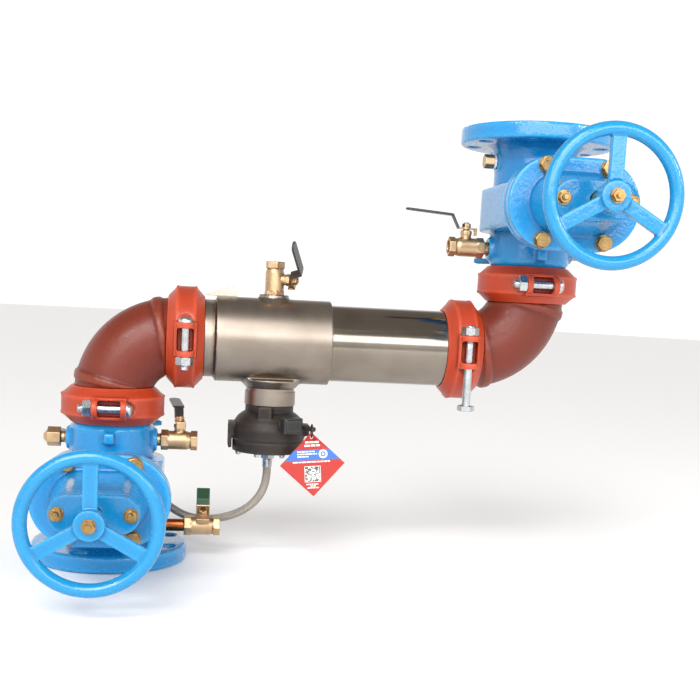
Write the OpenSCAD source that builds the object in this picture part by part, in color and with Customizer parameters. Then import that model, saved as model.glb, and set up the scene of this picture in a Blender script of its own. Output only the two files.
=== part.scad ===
// Reduced-pressure-zone backflow preventer, 4 inch, Z pattern.
// Origin: centre of the inlet flange's face. +Z up the inlet leg, +X towards the outlet leg,
// -Y towards the handwheels. Millimetres.

/* [Pipe run] */
// Outside diameter of the pipe and of every grooved end
pipe_od = 114.3; // [113:0.1:115]
// Bore of the valves and elbows
pipe_bore = 102.2; // [100:0.1:103]
// Distance between the axes of the inlet and outlet legs
leg_spacing = 620; // [600:1:660]
// Centre to end of a grooved elbow
elbow_reach = 101.6; // [101:0.1:104]
// Centreline radius of an elbow's bend
elbow_bend = 88; // [84:1:90]
// Gap between two pipe ends inside a coupling
joint_gap = 3.2; // [2.8:0.1:3.6]

/* [Gate valves] */
// Flange face to grooved end
valve_length = 228.6; // [228:0.1:232]
// Height of the bonnet and stem axis above the flange face
valve_centre = 121; // [118:1:124]
// Outside diameter of a flange
flange_od = 228.6; // [222:0.1:235]
// Thickness of a flange
flange_t = 24; // [20:0.5:26]
// Bolt circle of a flange
flange_pcd = 190.5; // [188:0.1:193]
// Bolt hole of a flange
flange_hole_d = 19.05; // [17:0.05:20]
// Outside diameter of a handwheel
wheel_d = 181; // [170:1:190]
// Distance from the leg's axis to the middle of the handwheel's rim
wheel_plane = 337; // [335:1:342]
// Travel of the wedge between open and shut
wedge_travel = 110; // [108:1:110]

/* [Couplings] */
// Outside diameter of a coupling
coupling_od = 150; // [148:1:154]
// Width of a coupling along the pipe
coupling_w = 54; // [53:1:58]
// Distance of a coupling's bolts from the pipe axis
coupling_bolt_y = 78; // [77:1:82]

/* [Check valve body] */
// Outside diameter of the large shell
shell_d = 126; // [124:1:130]
// Where the large shell starts and ends along X
shell_x = [147, 317];
// Wall of the shell and of the stainless tube
tube_wall = 3; // [2.8:0.1:3.2]

/* [Relief valve] */
// Distance of the relief valve's axis from the inlet leg
relief_x = 232; // [230:1:234]
// Outside diameter of the stainless neck
neck_d = 76; // [75:1:78]
// Outside diameter of the black body
relief_d = 110; // [108:1:112]

/* [Test cocks] */
// Diameter of a cock's body
cock_d = 28; // [27:0.5:29]
// Across flats of a cock's hexagons
cock_af = 26; // [25:0.5:27]
// Stem centre to lever tip on the black levers
lever_len = 95; // [85:1:100]

/* [Hose and tag] */
// Outside diameter of the braided hose
hose_d = 12.5; // [11:0.5:13]
// Side of the square hang tag
tag_side = 68; // [60:1:72]

/* [Hidden] */
$fn = 96;

// Colours
BLUE = "#3c96dc";
ORANGE = "#cd5037";
BROWN = "#96412f";
STEEL = "#a89f93";
BRASS = "#b98f55";
ZINC = "#c9cacb";
GOLD = "#c89a45";
BLACK = "#2b2625";
GREEN = "#1f8a55";
WHITE = "#e8ebee";
MILK = "#efe6d8";
RUBBER = "#1d1d1e";

// Clearances between pieces
run_fit = 0.05;
loose = 0.3;

// Main places
pipe_z = valve_length + joint_gap + elbow_reach;
top_z = 2 * pipe_z;
joint_1_z = valve_length + joint_gap / 2;
joint_2_x = elbow_reach + joint_gap / 2;
joint_3_x = leg_spacing - joint_2_x;
joint_4_z = top_z - joint_1_z;
tube_start = elbow_reach + joint_gap;
tube_end = leg_spacing - tube_start;
pipe_r = pipe_od / 2;

// Grooves in the pipe ends
groove_set = 15.9;
groove_w = 9.5;
groove_r = pipe_r - 2.1;

// Gate valve
barrel_r = 61;
chest_r = 78;
chest_h = 64;
bonnet_w = 186;
bonnet_h = 126;
body_face = 178;
gasket_t = 2;
bonnet_t = 17;
bonnet_face = body_face + gasket_t + bonnet_t;
tower_face = 272;
seal_face = 283;
wedge_r = 56.5;
wedge_t = 30;
pocket_r = wedge_r + 1;
pocket_t = wedge_t + 1;
block_w = 40;
block_top = 80;
stem_r = 11;
stem_top_r = 10;
collar_r = 16;
stem_tip = 64;
bonnet_bolt_x = 43.5;
bonnet_bolt_z = 50;
seal_bolt_x = 45.5;
bolt_r = 6.35;
rim_r = 9;
rim_mid = wheel_d / 2 - rim_r;
hub_r = 19;
hub_front = wheel_plane + 11;
tap_r = 10.3;
tap_high = 178;
tap_low = 48;
boss_x = 66.6;
boss_low_x = 62;

// Coupling
pad_in = 16;
pad_out = 24.5;
nut_af = 22.2;
housing_gap = 0.8;
gasket_r = 65;
spot_r = 13.4;

// Checks
check_r = shell_d / 2 - tube_wall;
check_1_x = shell_x[0] + tube_wall + 6.3;
check_2_x = 334;
tube_r = pipe_r - tube_wall;
pin_r = 3;

// Relief valve heights
neck_low = 238;
relief_low = 187;
cover_low = 167;
cover_top = 184.6;
web_z = 212;
seat_low = 236;
relief_travel = 10;
neck_top_z = 263;

// Tag hole, the lug's underside and the tie that loops round both
tag_at = [291.5, -61.5, 197.5];
tag_corner = 7.5;
lug_low = 206;
tie_r = 9.2;

// Hose from the relief cover round the back of the inlet valve to the side fitting
hose_top = 142;
hose_end = [-84.1, 40, 178];
hose_route = [[232, 0, 142], [232, 0, 130], [229.5, 1, 113], [222, 4, 95], [208, 9, 78], [190, 17, 65],
    [170, 27, 56], [150, 38, 50.5], [128, 50, 48.5], [108, 61, 51.5], [88, 72, 60.5], [67, 82, 75],
    [43, 90.5, 92.5], [18, 97, 110.5], [-8, 101, 129], [-31.4, 102, 145.3], [-45, 99.9, 153.8],
    [-57.8, 93.7, 161.7], [-68.7, 83.8, 168.4], [-77, 71, 173.6], [-82.3, 56, 176.9], [-84.1, 43, 178],
    hose_end];

// Test cock, along its own +X from the face it screws into
cock_hex1 = 10.5;
cock_len = 54;
ball_at = 27.5;
ball_r = 11;
way_r = 6.35;
cock_stem_r = 5;
cock_top_r = 3.9;
neck_top = 25;
lever_z = 27;
lever_t = 2.5;

// Ways that the four cocks are set: where they screw in, how they are turned, length of nipple
cock_low_nipple = 48;
cock_nipple = 5;
cock_3_nipple = 1;
cock_4_nipple = 6.5;
thread_in = 12;
cock_turn = [90, 97, 58, 0];

// ---- helpers -------------------------------------------------------------------------------

// Stadium plate facing -Y: w wide in X, h high in Z, from y = -from to y = -to
module oval(w, h, from, to) {
    rotate([90, 0, 0])
        translate([0, 0, from]) {
            translate([-(w - h) / 2, -h / 2, 0]) cube([w - h, h, to - from]);
            for (s = [-1, 1]) translate([s * (w - h) / 2, 0, 0]) cylinder(r = h / 2, h = to - from);
        }
}

// Cylinder along -Y from y = -from to y = -to
module rod(r, from, to, x = 0, z = 0) {
    translate([x, -from, z]) rotate([90, 0, 0]) cylinder(r = r, h = to - from);
}

module hex_rod(af, from, to, x = 0, z = 0) {
    translate([x, -from, z]) rotate([90, 0, 0]) cylinder(d = af / cos(30), h = to - from, $fn = 6);
}

// Cylinder along +X
module bar(r, from, to) {
    translate([from, 0, 0]) rotate([0, 90, 0]) cylinder(r = r, h = to - from);
}

module hex_bar(af, from, to) {
    translate([from, 0, 0]) rotate([0, 90, 0]) cylinder(d = af / cos(30), h = to - from, $fn = 6);
}

// A gate valve's own frame is the inlet leg's; the outlet valve is the same part turned over
module at_inlet() { children(); }
module at_outlet() { translate([leg_spacing, 0, top_z]) rotate([0, 180, 0]) children(); }
module both_valves() {
    at_inlet() children();
    at_outlet() children();
}

// One ring of a tube swept along a path, square to the path and without twist
function unit(v) = v / norm(v);
function tangent(p, i) = unit(p[min(i + 1, len(p) - 1)] - p[max(i - 1, 0)]);
function side(t) = unit(cross(t, abs(t[2]) < 0.9 ? [0, 0, 1] : [0, 1, 0]));
function carried(p, i) = i == 0 ? side(tangent(p, 0)) :
    let (t = tangent(p, i), s = carried(p, i - 1)) unit(s - (s * t) * t);
function ring(c, t, s, r, n) =
    [for (k = [0:n - 1]) c + r * (cos(360 * k / n) * s + sin(360 * k / n) * cross(t, s))];

// Tube of radius r with n sides along the points p
module sweep(p, r, n) {
    last = len(p) - 1;
    points = [for (i = [0:last]) each ring(p[i], tangent(p, i), carried(p, i), r, n)];
    sides = [for (i = [0:last - 1], k = [0:n - 1])
        [i * n + k, i * n + (k + 1) % n, (i + 1) * n + (k + 1) % n, (i + 1) * n + k]];
    caps = [[for (k = [n - 1:-1:0]) k], [for (k = [0:n - 1]) last * n + k]];
    polyhedron(points, concat([for (f = sides) [f[3], f[2], f[1], f[0]]],
        [for (f = caps) [for (k = [n - 1:-1:0]) f[k]]]), convexity = 6);
}

// Helix round +Z: radius r, turns, height h
function helix(r, turns, h, steps) =
    [for (i = [0:steps]) let (a = 360 * turns * i / steps) [r * cos(a), r * sin(a), h * i / steps]];

// ---- gate valve ----------------------------------------------------------------------------

module body_profile() {
    polygon([[0, 0], [flange_od / 2, 0], [flange_od / 2, flange_t], [74, flange_t], [66, flange_t + 5],
        [barrel_r, flange_t + 18], [barrel_r, 198], [pipe_r, 201],
        [pipe_r, valve_length - groove_set - groove_w], [groove_r, valve_length - groove_set - groove_w],
        [groove_r, valve_length - groove_set], [pipe_r, valve_length - groove_set],
        [pipe_r, valve_length], [0, valve_length]]);
}

module valve_chest() {
    translate([0, 0, valve_centre - chest_h / 2]) {
        cylinder(r = chest_r, h = chest_h);
        translate([-chest_r, -body_face + 14, 0]) cube([2 * chest_r, body_face - 14, chest_h]);
    }
    translate([0, 0, valve_centre]) oval(bonnet_w, bonnet_h, body_face - 14, body_face);
}

module valve_bosses() {
    for (s = [-1, 1]) translate([0, 0, tap_high]) mirror([s < 0 ? 1 : 0, 0, 0]) bar(17, 40, boss_x);
    translate([0, 0, tap_low]) bar(15, 40, boss_low_x);
    // Cast lugs on the front and at the back corner
    translate([-7, -72, 178]) cube([14, 20, 16]);
    rotate([0, 0, 45]) translate([50, -7, 191]) cube([44, 14, 9]);
}

module valve_body() {
    difference() {
        union() {
            rotate_extrude() body_profile();
            valve_chest();
            valve_bosses();
        }
        translate([0, 0, -1]) cylinder(d = pipe_bore, h = valve_length + 2);
        // Pocket for the wedge, round at the back and open to the bonnet
        translate([0, 0, valve_centre - pocket_t / 2]) {
            cylinder(r = pocket_r, h = pocket_t);
            translate([-pocket_r, -body_face - 1, 0]) cube([2 * pocket_r, body_face + 1, pocket_t]);
        }
        for (k = [0:7])
            rotate([0, 0, 22.5 + 45 * k]) translate([flange_pcd / 2, 0, -1])
                cylinder(d = flange_hole_d, h = flange_t + 2);
        for (s = [-1, 1]) translate([0, 0, tap_high]) mirror([s < 0 ? 1 : 0, 0, 0]) bar(tap_r, 45, boss_x + 1);
        translate([0, 0, tap_low]) bar(tap_r, 45, boss_low_x + 1);
        for (x = [-1, 1], z = [-1, 1])
            rod(bolt_r + run_fit, body_face - 13, body_face + 1, x * bonnet_bolt_x,
                valve_centre + z * bonnet_bolt_z);
    }
}

// Tower between the bonnet plate and the seal plate
module bonnet_tower() {
    translate([0, 0, valve_centre]) hull() {
        oval(128, 80, bonnet_face - 4, bonnet_face + 3, $fn = 32);
        oval(114, 52, tower_face - 14, tower_face - 12, $fn = 32);
    }
    translate([0, 0, valve_centre]) oval(114, 52, tower_face - 14, tower_face);
}

module bonnet() {
    difference() {
        union() {
            translate([0, 0, valve_centre]) oval(bonnet_w, bonnet_h, body_face + gasket_t, bonnet_face);
            bonnet_tower();
        }
        // Room for the block on top of the wedge, then the stem's bore and its collar
        translate([-block_w / 2 - 2, -bonnet_face + 1, valve_centre - pocket_t / 2])
            cube([block_w + 4, 20, pocket_t]);
        rod(stem_r + run_fit, 150, tower_face + 1, 0, valve_centre);
        rod(collar_r + loose, tower_face - 10, tower_face + 1, 0, valve_centre);
        for (x = [-1, 1], z = [-1, 1])
            rod(bolt_r + run_fit, 150, bonnet_face + 1, x * bonnet_bolt_x, valve_centre + z * bonnet_bolt_z);
        for (x = [-1, 1]) rod(4 + run_fit, tower_face - 16, tower_face + 1, x * seal_bolt_x, valve_centre);
    }
}

module bonnet_gasket() {
    difference() {
        translate([0, 0, valve_centre]) oval(bonnet_w - 4, bonnet_h - 4, body_face, body_face + gasket_t);
        translate([-pocket_r, -200, valve_centre - pocket_t / 2]) cube([2 * pocket_r, 30, pocket_t]);
        for (x = [-1, 1], z = [-1, 1])
            rod(bolt_r + run_fit, 170, 190, x * bonnet_bolt_x, valve_centre + z * bonnet_bolt_z);
    }
}

// Hex bolt with a flat washer, its shank going back into the part
module flange_bolt(r, af, face, depth, x, z) {
    rod(r, face - depth, face + 1, x, z);
    rod(af * 0.58, face, face + 1.5, x, z);
    hex_rod(af, face + 1.5, face + 1.5 + r * 1.2, x, z);
}

module valve_bonnet_bolts() {
    for (x = [-1, 1], z = [-1, 1])
        flange_bolt(bolt_r, 19, bonnet_face, bonnet_face - body_face + 12, x * bonnet_bolt_x,
            valve_centre + z * bonnet_bolt_z);
}

module seal_plate() {
    difference() {
        translate([0, 0, valve_centre]) oval(114, 50, tower_face, seal_face);
        rod(stem_top_r + run_fit, tower_face - 1, seal_face + 1, 0, valve_centre);
        for (x = [-1, 1]) rod(4 + run_fit, tower_face - 1, seal_face + 1, x * seal_bolt_x, valve_centre);
    }
}

module valve_seal_bolts() {
    for (x = [-1, 1]) flange_bolt(4, 14, seal_face, seal_face - tower_face + 15, x * seal_bolt_x, valve_centre);
}

module stem() {
    rod(stem_r, stem_tip, tower_face - 8, 0, valve_centre);
    rod(collar_r, tower_face - 9.5, tower_face - 0.5, 0, valve_centre);
    rod(stem_top_r, tower_face - 1, wheel_plane - 11, 0, valve_centre);
    rod(8, wheel_plane - 12, hub_front, 0, valve_centre);
    rod(4, hub_front - 1, hub_front + 13, 0, valve_centre);
}

// The wedge at the height of its open place
module wedge() {
    translate([0, -wedge_travel, valve_centre]) difference() {
        union() {
            translate([0, 0, -wedge_t / 2]) cylinder(r = wedge_r, h = wedge_t);
            translate([-block_w / 2, -block_top, -wedge_t / 2]) cube([block_w, 40, wedge_t]);
        }
        rod(stem_r + 1.5, -48, block_top + 1);
        translate([-13, -block_top - 1, -10]) cube([26, 17, 30]);
    }
}

module wedge_nut() {
    translate([0, -wedge_travel, valve_centre]) difference() {
        translate([-12.7, -block_top + 0.3, -9.7]) cube([25.4, 15.4, 24]);
        rod(stem_r + run_fit, block_top - 20, block_top + 1);
    }
}

// Handwheel with three flat spokes, the first pointing up the page
module handwheel(turn) {
    translate([0, 0, valve_centre]) difference() {
        union() {
            rotate([90, 0, 0]) translate([0, 0, wheel_plane])
                rotate_extrude() translate([rim_mid, 0]) circle(r = rim_r);
            rod(hub_r, wheel_plane - 11, hub_front);
            for (k = [0:2]) rotate([0, turn + 120 * k, 0])
                translate([-9.5, -wheel_plane - 5, 0]) cube([19, 11, rim_mid]);
        }
        rod(8 + run_fit, wheel_plane - 20, hub_front + 1);
    }
}

module wheel_nut() {
    translate([0, 0, valve_centre]) difference() {
        union() {
            rod(9, hub_front, hub_front + 2);
            hex_rod(14, hub_front + 2, hub_front + 9);
        }
        rod(4 + run_fit, hub_front - 1, hub_front + 10);
    }
}

// ---- grooved couplings and elbows ----------------------------------------------------------

// Outer section of a coupling housing, as radius and distance along the pipe
function section_points() =
    let (w = coupling_w / 2, r = coupling_od / 2)
    [[pipe_r, -w], [pipe_r, w], [60.5, w], [r, w / 2], [r, -w / 2], [60.5, -w]];

// One half housing round the Z axis on the +X side, bolt pads at +Y and -Y
module coupling_half() {
    difference() {
        union() {
            rotate([0, 0, -90]) rotate_extrude(angle = 180) polygon(section_points());
            for (s = [-1, 1]) {
                translate([0, s * coupling_bolt_y, 0]) rotate([0, 90, 0]) cylinder(r = 13.5, h = pad_out);
                translate([0, s * (coupling_bolt_y - 6) - 8, -16]) cube([pad_out, 16, 32]);
            }
        }
        translate([-1, -200, -50]) cube([1.5, 400, 100]);
        cylinder(r = gasket_r, h = 34, center = true);
        cylinder(r = pipe_r + housing_gap, h = 100, center = true);
        for (s = [-1, 1]) {
            translate([-1, s * (coupling_bolt_y + 7) - 15, -12]) cube([pad_in + 1, 30, 24]);
            translate([-1, s * coupling_bolt_y, 0]) rotate([0, 90, 0]) cylinder(r = bolt_r + 0.4, h = 40);
            // Flat seat for the nut or head
            translate([pad_out, s * coupling_bolt_y, 0]) rotate([0, 90, 0]) cylinder(r = spot_r, h = 60);
        }
    }
    // Keys that sit in the pipe grooves
    for (s = [-1, 1]) difference() {
        translate([0, 0, s * (joint_gap / 2 + groove_set + groove_w / 2)]) difference() {
            cylinder(r = pipe_r + 1.6, h = groove_w - 2, center = true);
            cylinder(r = groove_r + 0.4, h = groove_w, center = true);
        }
        translate([-100, -100, -50]) cube([100.5, 200, 100]);
    }
}

module coupling() {
    coupling_half();
    rotate([0, 0, 180]) coupling_half();
}

module coupling_gasket() {
    difference() {
        cylinder(r = gasket_r - loose, h = 33.4, center = true);
        cylinder(r = pipe_r + 0.1, h = 40, center = true);
        cylinder(r = 61, h = 20, center = true);
    }
}

// Domed bolt head standing on z = 0
module domed_head(r, h) {
    rotate_extrude() polygon([[0, 0], [r, 0], [r, h * 0.3], [r * 0.9, h * 0.62], [r * 0.6, h * 0.9],
        [r * 0.3, h], [0, h]]);
}

// Track bolt along X with its round head at +X and its nut at -X
module track_bolt() {
    bar(bolt_r, -pad_out - 19, pad_out + 1);
    translate([pad_out, 0, 0]) rotate([0, 90, 0]) domed_head(11, 8);
    hex_bar(nut_af, -pad_out - 12, -pad_out);
}

// Long hex bolt, head at -X
module long_bolt() {
    bar(bolt_r, -pad_out - 55, pad_out + 15);
    hex_bar(nut_af, pad_out, pad_out + 12);
    hex_bar(nut_af, -pad_out - 62, -pad_out - 54);
}

// The bolt on the front of coupling 3 is a long one
module coupling_bolt(k, s) {
    translate([0, s * coupling_bolt_y, 0]) {
        if (k == 3 && s == -1) long_bolt();
        else track_bolt();
    }
}

module at_joint(k) {
    if (k == 1) translate([0, 0, joint_1_z]) children();
    if (k == 2) translate([joint_2_x, 0, pipe_z]) rotate([0, -90, 0]) children();
    if (k == 3) translate([joint_3_x, 0, pipe_z]) rotate([0, -90, 0]) children();
    if (k == 4) translate([leg_spacing, 0, joint_4_z]) children();
}

// Stretch of the elbow's bend, from angle a to angle b, measured from the +X leg
module bend(r, a, b) {
    translate([elbow_bend, 0, -elbow_bend]) rotate([90, 0, 0]) rotate([0, 0, 90 + a])
        rotate_extrude(angle = b - a) translate([elbow_bend, 0]) circle(r = r);
}

// Everything that the two ends of the elbow share, drawn along each leg from its end face inwards
module elbow_ends() {
    translate([0, 0, -elbow_reach]) children();
    translate([elbow_reach, 0, 0]) rotate([0, -90, 0]) children();
}

// Cast elbow with one leg down and one leg along +X, its corner at the origin
module elbow() {
    straight = elbow_reach - elbow_bend;
    difference() {
        union() {
            bend(pipe_r - 0.2, 0, 90);
            elbow_ends() cylinder(r = pipe_r, h = groove_set + groove_w + 1);
            bend(pipe_r + 3, 9, 14);
            bend(pipe_r + 3, 76, 81);
        }
        bend(pipe_bore / 2, -0.1, 90.1);
        elbow_ends() translate([0, 0, -1]) cylinder(d = pipe_bore + 0.8, h = straight + 1.5);
        elbow_ends() translate([0, 0, groove_set]) difference() {
            cylinder(r = pipe_r + 4, h = groove_w);
            translate([0, 0, -1]) cylinder(r = groove_r, h = groove_w + 2);
        }
        // Room for the coupling where the bands come close to the end
        elbow_ends() difference() {
            cylinder(r = pipe_r + 4, h = (coupling_w - joint_gap) / 2 + 0.5);
            translate([0, 0, -1]) cylinder(r = pipe_r, h = coupling_w);
        }
    }
}

// ---- check valve body ----------------------------------------------------------------------

// Stainless tube along +X with a groove near one end
module steel_tube(r, from, to) {
    difference() {
        bar(r, from, to);
        bar(r - tube_wall, from - 1, to + 1);
    }
}

module groove_cut(at) {
    difference() {
        bar(pipe_r + 2, at, at + groove_w);
        bar(groove_r, at - 1, at + groove_w + 1);
    }
}

module shell() {
    shell_r = shell_d / 2;
    translate([0, 0, pipe_z]) difference() {
        union() {
            bar(pipe_r, tube_start, shell_x[0] + 1);
            bar(shell_r, shell_x[0], shell_x[1]);
            // Flared saddle and collar of the top test cock, and flare of the relief neck
            translate([relief_x, 0, shell_r - 9]) cylinder(r1 = 33, r2 = 22, h = 10);
            translate([relief_x, 0, shell_r]) cylinder(r = 22, h = 6);
            translate([relief_x, 0, neck_top_z - pipe_z]) cylinder(r1 = 37, r2 = 50, h = 14);
        }
        bar(pipe_r - tube_wall, tube_start - 1, shell_x[0] + tube_wall);
        bar(shell_r - tube_wall, shell_x[0] + tube_wall, shell_x[1] - tube_wall);
        bar(pipe_r - tube_wall, shell_x[1] - tube_wall - 1, shell_x[1] + 1);
        groove_cut(tube_start + groove_set);
        translate([relief_x, 0, 0]) {
            cylinder(r = tap_r, h = 100);
            translate([0, 0, shell_r + 0.5]) cylinder(r = cock_af / 2 / cos(30) + 1, h = 10);
            translate([0, 0, -90]) cylinder(r = 30, h = 90);
        }
    }
}

module tube() {
    translate([0, 0, pipe_z]) difference() {
        union() {
            steel_tube(pipe_r, shell_x[1], tube_end);
            // Weld bead where the spool joins the body
            difference() {
                translate([412, 0, 0]) rotate([0, 90, 0]) rotate_extrude()
                    translate([pipe_r - 1.6, 0]) circle(r = 2.2, $fn = 24);
                bar(pipe_r - 0.5, 400, 424);
            }
        }
        groove_cut(tube_end - groove_set - groove_w);
    }
}

// Check valve seat at x = 0 with two ears and the hinge pin
module check_seat(ring_r, hole_r, pin_z) {
    difference() {
        union() {
            bar(ring_r, -6, 0);
            for (s = [-1, 1]) translate([-1, s * 13 - 2, pin_z - 5.5]) cube([20, 4, 11]);
        }
        bar(hole_r, -7, 1);
        translate([14, 20, pin_z]) rotate([90, 0, 0]) cylinder(r = pin_r + run_fit, h = 40);
    }
    translate([14, 16, pin_z]) rotate([90, 0, 0]) cylinder(r = pin_r, h = 32);
}

module clapper(hole_r, pin_z) {
    difference() {
        union() {
            bar(hole_r + 3, loose, 6);
            translate([4, -5, pin_z - 22]) cube([8, 10, 20]);
            translate([14, 6, pin_z]) rotate([90, 0, 0]) cylinder(r = 6, h = 12);
        }
        translate([14, 7, pin_z]) rotate([90, 0, 0]) cylinder(r = pin_r + run_fit, h = 14);
    }
}

// Torsion spring beside the clapper's knuckle, with a leg that presses on the clapper
module torsion_spring(pin_z) {
    for (s = [0, 1]) mirror([0, s, 0]) translate([14, 6.9, pin_z]) rotate([-90, 0, 0])
        sweep(concat(helix(4.6, 2, 3.2, 24), [[4.4, 3, 3.2], [0, 8, 3.2], [-5, 14, 3.2], [-7, 20, 3.2]]),
            0.7, 6);
}

module at_check(k) {
    translate([k == 1 ? check_1_x : check_2_x, 0, pipe_z]) children();
}

// ---- relief valve --------------------------------------------------------------------------

module neck() {
    translate([relief_x, 0, 0]) difference() {
        union() {
            translate([0, 0, neck_low]) cylinder(d = neck_d, h = 20);
            translate([0, 0, neck_low + 19]) cylinder(r = neck_d / 2 - 2, h = neck_top_z - neck_low - 19);
        }
        translate([0, 0, neck_low - 1]) cylinder(r = 31, h = 40);
    }
}

module relief_profile() {
    r = relief_d / 2;
    polygon([[0, 256], [30.7, 256], [30.7, neck_low], [36.3, neck_low], [36.3, 227], [41, 224.5],
        [47, 219.5], [52, 212], [r, 202], [r, relief_low], [0, relief_low]]);
}

module relief_hollow() {
    polygon([[0, 257], [26, 257], [26, seat_low + 5], [17, seat_low + 5], [17, seat_low], [26, seat_low],
        [26, 228], [36, 221], [43, 212], [43, relief_low - 1], [0, relief_low - 1]]);
}

module relief_case() {
    r = relief_d / 2;
    translate([relief_x, 0, 0]) difference() {
        union() {
            rotate_extrude() relief_profile();
            // Discharge frame on the left, smaller port on the right
            translate([-r - 6, -19, 172]) cube([5.5, 38, 38]);
            translate([-r - 2, -19, 189]) cube([12, 38, 21]);
            translate([r - 8, -14, 192]) cube([14.5, 28, 17]);
            // Rib down the front and lug for the tag
            rotate([0, 0, -12]) translate([-10, -47, 206]) cube([20, 20, 31]);
            rotate([0, 0, -46]) translate([46, -2.5, lug_low]) cube([46, 5, 7]);
            rotate([0, 0, 25]) translate([-8, -62, 206]) cube([16, 30, 14]);
        }
        rotate_extrude() relief_hollow();
        translate([-r - 8, -15, 190]) cube([30, 30, 16]);
        translate([r - 20, -10, 195]) cube([30, 20, 11]);
        relief_screw_places() cylinder(r = 2.5 + run_fit, h = 30);
    }
    // Spider that guides the stem
    translate([relief_x, 0, web_z]) difference() {
        union() {
            cylinder(r = 9, h = 4);
            for (k = [0:2]) rotate([0, 0, 30 + 120 * k]) translate([0, -3, 0]) cube([43, 6, 4]);
        }
        translate([0, 0, -1]) cylinder(r = cock_stem_r + run_fit, h = 6);
    }
}

module relief_screw_places() {
    for (k = [0:7]) rotate([0, 0, 22.5 + 45 * k]) translate([49, 0, cover_low - 1]) children();
}

module relief_lid() {
    translate([relief_x, 0, 0]) difference() {
        union() {
            translate([0, 0, cover_low]) cylinder(r = relief_d / 2 - 1, h = cover_top - cover_low);
            translate([0, 0, cover_low - 5]) cylinder(r = 13, h = 6);
        }
        translate([0, 0, cover_low + 4]) cylinder(r = 42, h = 30);
        translate([0, 0, cover_low - 6]) cylinder(r = 5, h = 12);
        relief_screw_places() cylinder(r = 2.5 + run_fit, h = 30);
    }
}

module diaphragm() {
    translate([relief_x, 0, 0]) difference() {
        translate([0, 0, cover_top]) cylinder(r = relief_d / 2 - 1, h = relief_low - cover_top);
        translate([0, 0, cover_top - 1]) cylinder(r = cock_stem_r + loose, h = 5);
        relief_screw_places() cylinder(r = 2.5 + run_fit, h = 30);
    }
}

module relief_spindle() {
    translate([relief_x, 0, 0]) {
        translate([0, 0, seat_low - relief_travel - 5.3]) cylinder(r = 21, h = 5);
        translate([0, 0, cover_top - 4]) cylinder(r = cock_stem_r, h = 44);
        translate([0, 0, relief_low + 0.2]) cylinder(r = 32, h = 3);
        translate([0, 0, cover_top - 3.2]) cylinder(r = 26, h = 3);
    }
}

module relief_coil() {
    translate([relief_x, 0, relief_low + 4.9])
        sweep(helix(14, 2.5, web_z - relief_low - 6.6, 50), 1.5, 8);
}

module cover_screws() {
    translate([relief_x, 0, 0]) relief_screw_places() {
        cylinder(r = 2.5, h = 28);
        translate([0, 0, 1]) mirror([0, 0, 1]) domed_head(4.2, 6.5);
    }
}

module sensor() {
    translate([relief_x, 0, 0]) rotate([0, 0, 25]) {
        translate([-15.5, -76, 202]) cube([31, 14, 23]);
        translate([-12.5, -78, 205]) cube([25, 3, 17]);
    }
}

// ---- test cocks ----------------------------------------------------------------------------

// Body whose hexagon starts at x = nipple, its thread reaching back to x = root
module cock_body(nipple, root) {
    h = nipple;
    difference() {
        union() {
            bar(9.3, root, h + 1);
            hex_bar(cock_af + 1, h, h + cock_hex1);
            bar(cock_d / 2, h + cock_hex1, h + 37.5);
            translate([h + 37.5, 0, 0]) rotate([0, 90, 0]) cylinder(r1 = cock_d / 2, r2 = 12, h = 7);
            hex_bar(cock_af, h + 44, h + cock_len);
            translate([h + ball_at, 0, 0]) cylinder(r = 8, h = neck_top);
            translate([h + ball_at, 0, neck_top - 6]) cylinder(d = 16 / cos(30), h = 5, $fn = 6);
        }
        bar(way_r, -13, h + cock_len + 1);
        bar(9.6, h + cock_len - 12, h + cock_len + 1);
        translate([h + ball_at, 0, 0]) {
            sphere(r = ball_r + run_fit);
            cylinder(r = cock_stem_r + run_fit, h = neck_top + 1);
        }
    }
}

module cock_ball(nipple, turn) {
    translate([nipple + ball_at, 0, 0]) rotate([0, 0, turn]) {
        difference() {
            sphere(r = ball_r);
            bar(way_r, -20, 20);
        }
        translate([0, 0, 8.8]) cylinder(r = cock_stem_r, h = lever_z + lever_t - 8.8);
        translate([0, 0, lever_z]) cylinder(r = cock_top_r, h = 10);
    }
}

// Side view of a lever bent up from its plate, as length and height
function lever_line(reach, rise) =
    [[-13, -9], [-13, 0], [13, 0], [23, rise], [reach, rise + 5]];

// The same line given a thickness
module lever_side(reach, rise) {
    p = lever_line(reach, rise);
    polygon(concat([[-13, -9], [-13, 0]], [p[2], p[3], p[4]],
        [[reach, rise + 5 + 3.2], [22, rise + 3.2], [12, lever_t], [-15.5, lever_t], [-15.5, -9]]));
}

module cock_nut() {
    translate([0, 0, lever_t]) difference() {
        cylinder(d = 12 / cos(30), h = 6, $fn = 6);
        translate([0, 0, -1]) cylinder(r = cock_top_r + run_fit, h = 8);
    }
}

module long_lever(nipple, turn) {
    translate([nipple + ball_at, 0, lever_z]) rotate([0, 0, turn]) {
        difference() {
            union() {
                intersection() {
                    rotate([90, 0, 0]) translate([0, 0, -10]) linear_extrude(20) lever_side(lever_len, 19);
                    union() {
                        translate([-20, -7, -12]) cube([50, 14, 60]);
                        translate([24, -8.5, 0]) cube([lever_len - 32.5, 17, 60]);
                        translate([lever_len - 8.5, 0, 0]) cylinder(r = 8.5, h = 60);
                    }
                }
                cylinder(r = 8, h = lever_t);
            }
            translate([0, 0, -1]) cylinder(r = cock_stem_r + run_fit, h = 5);
        }
        cock_nut();
    }
}

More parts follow.
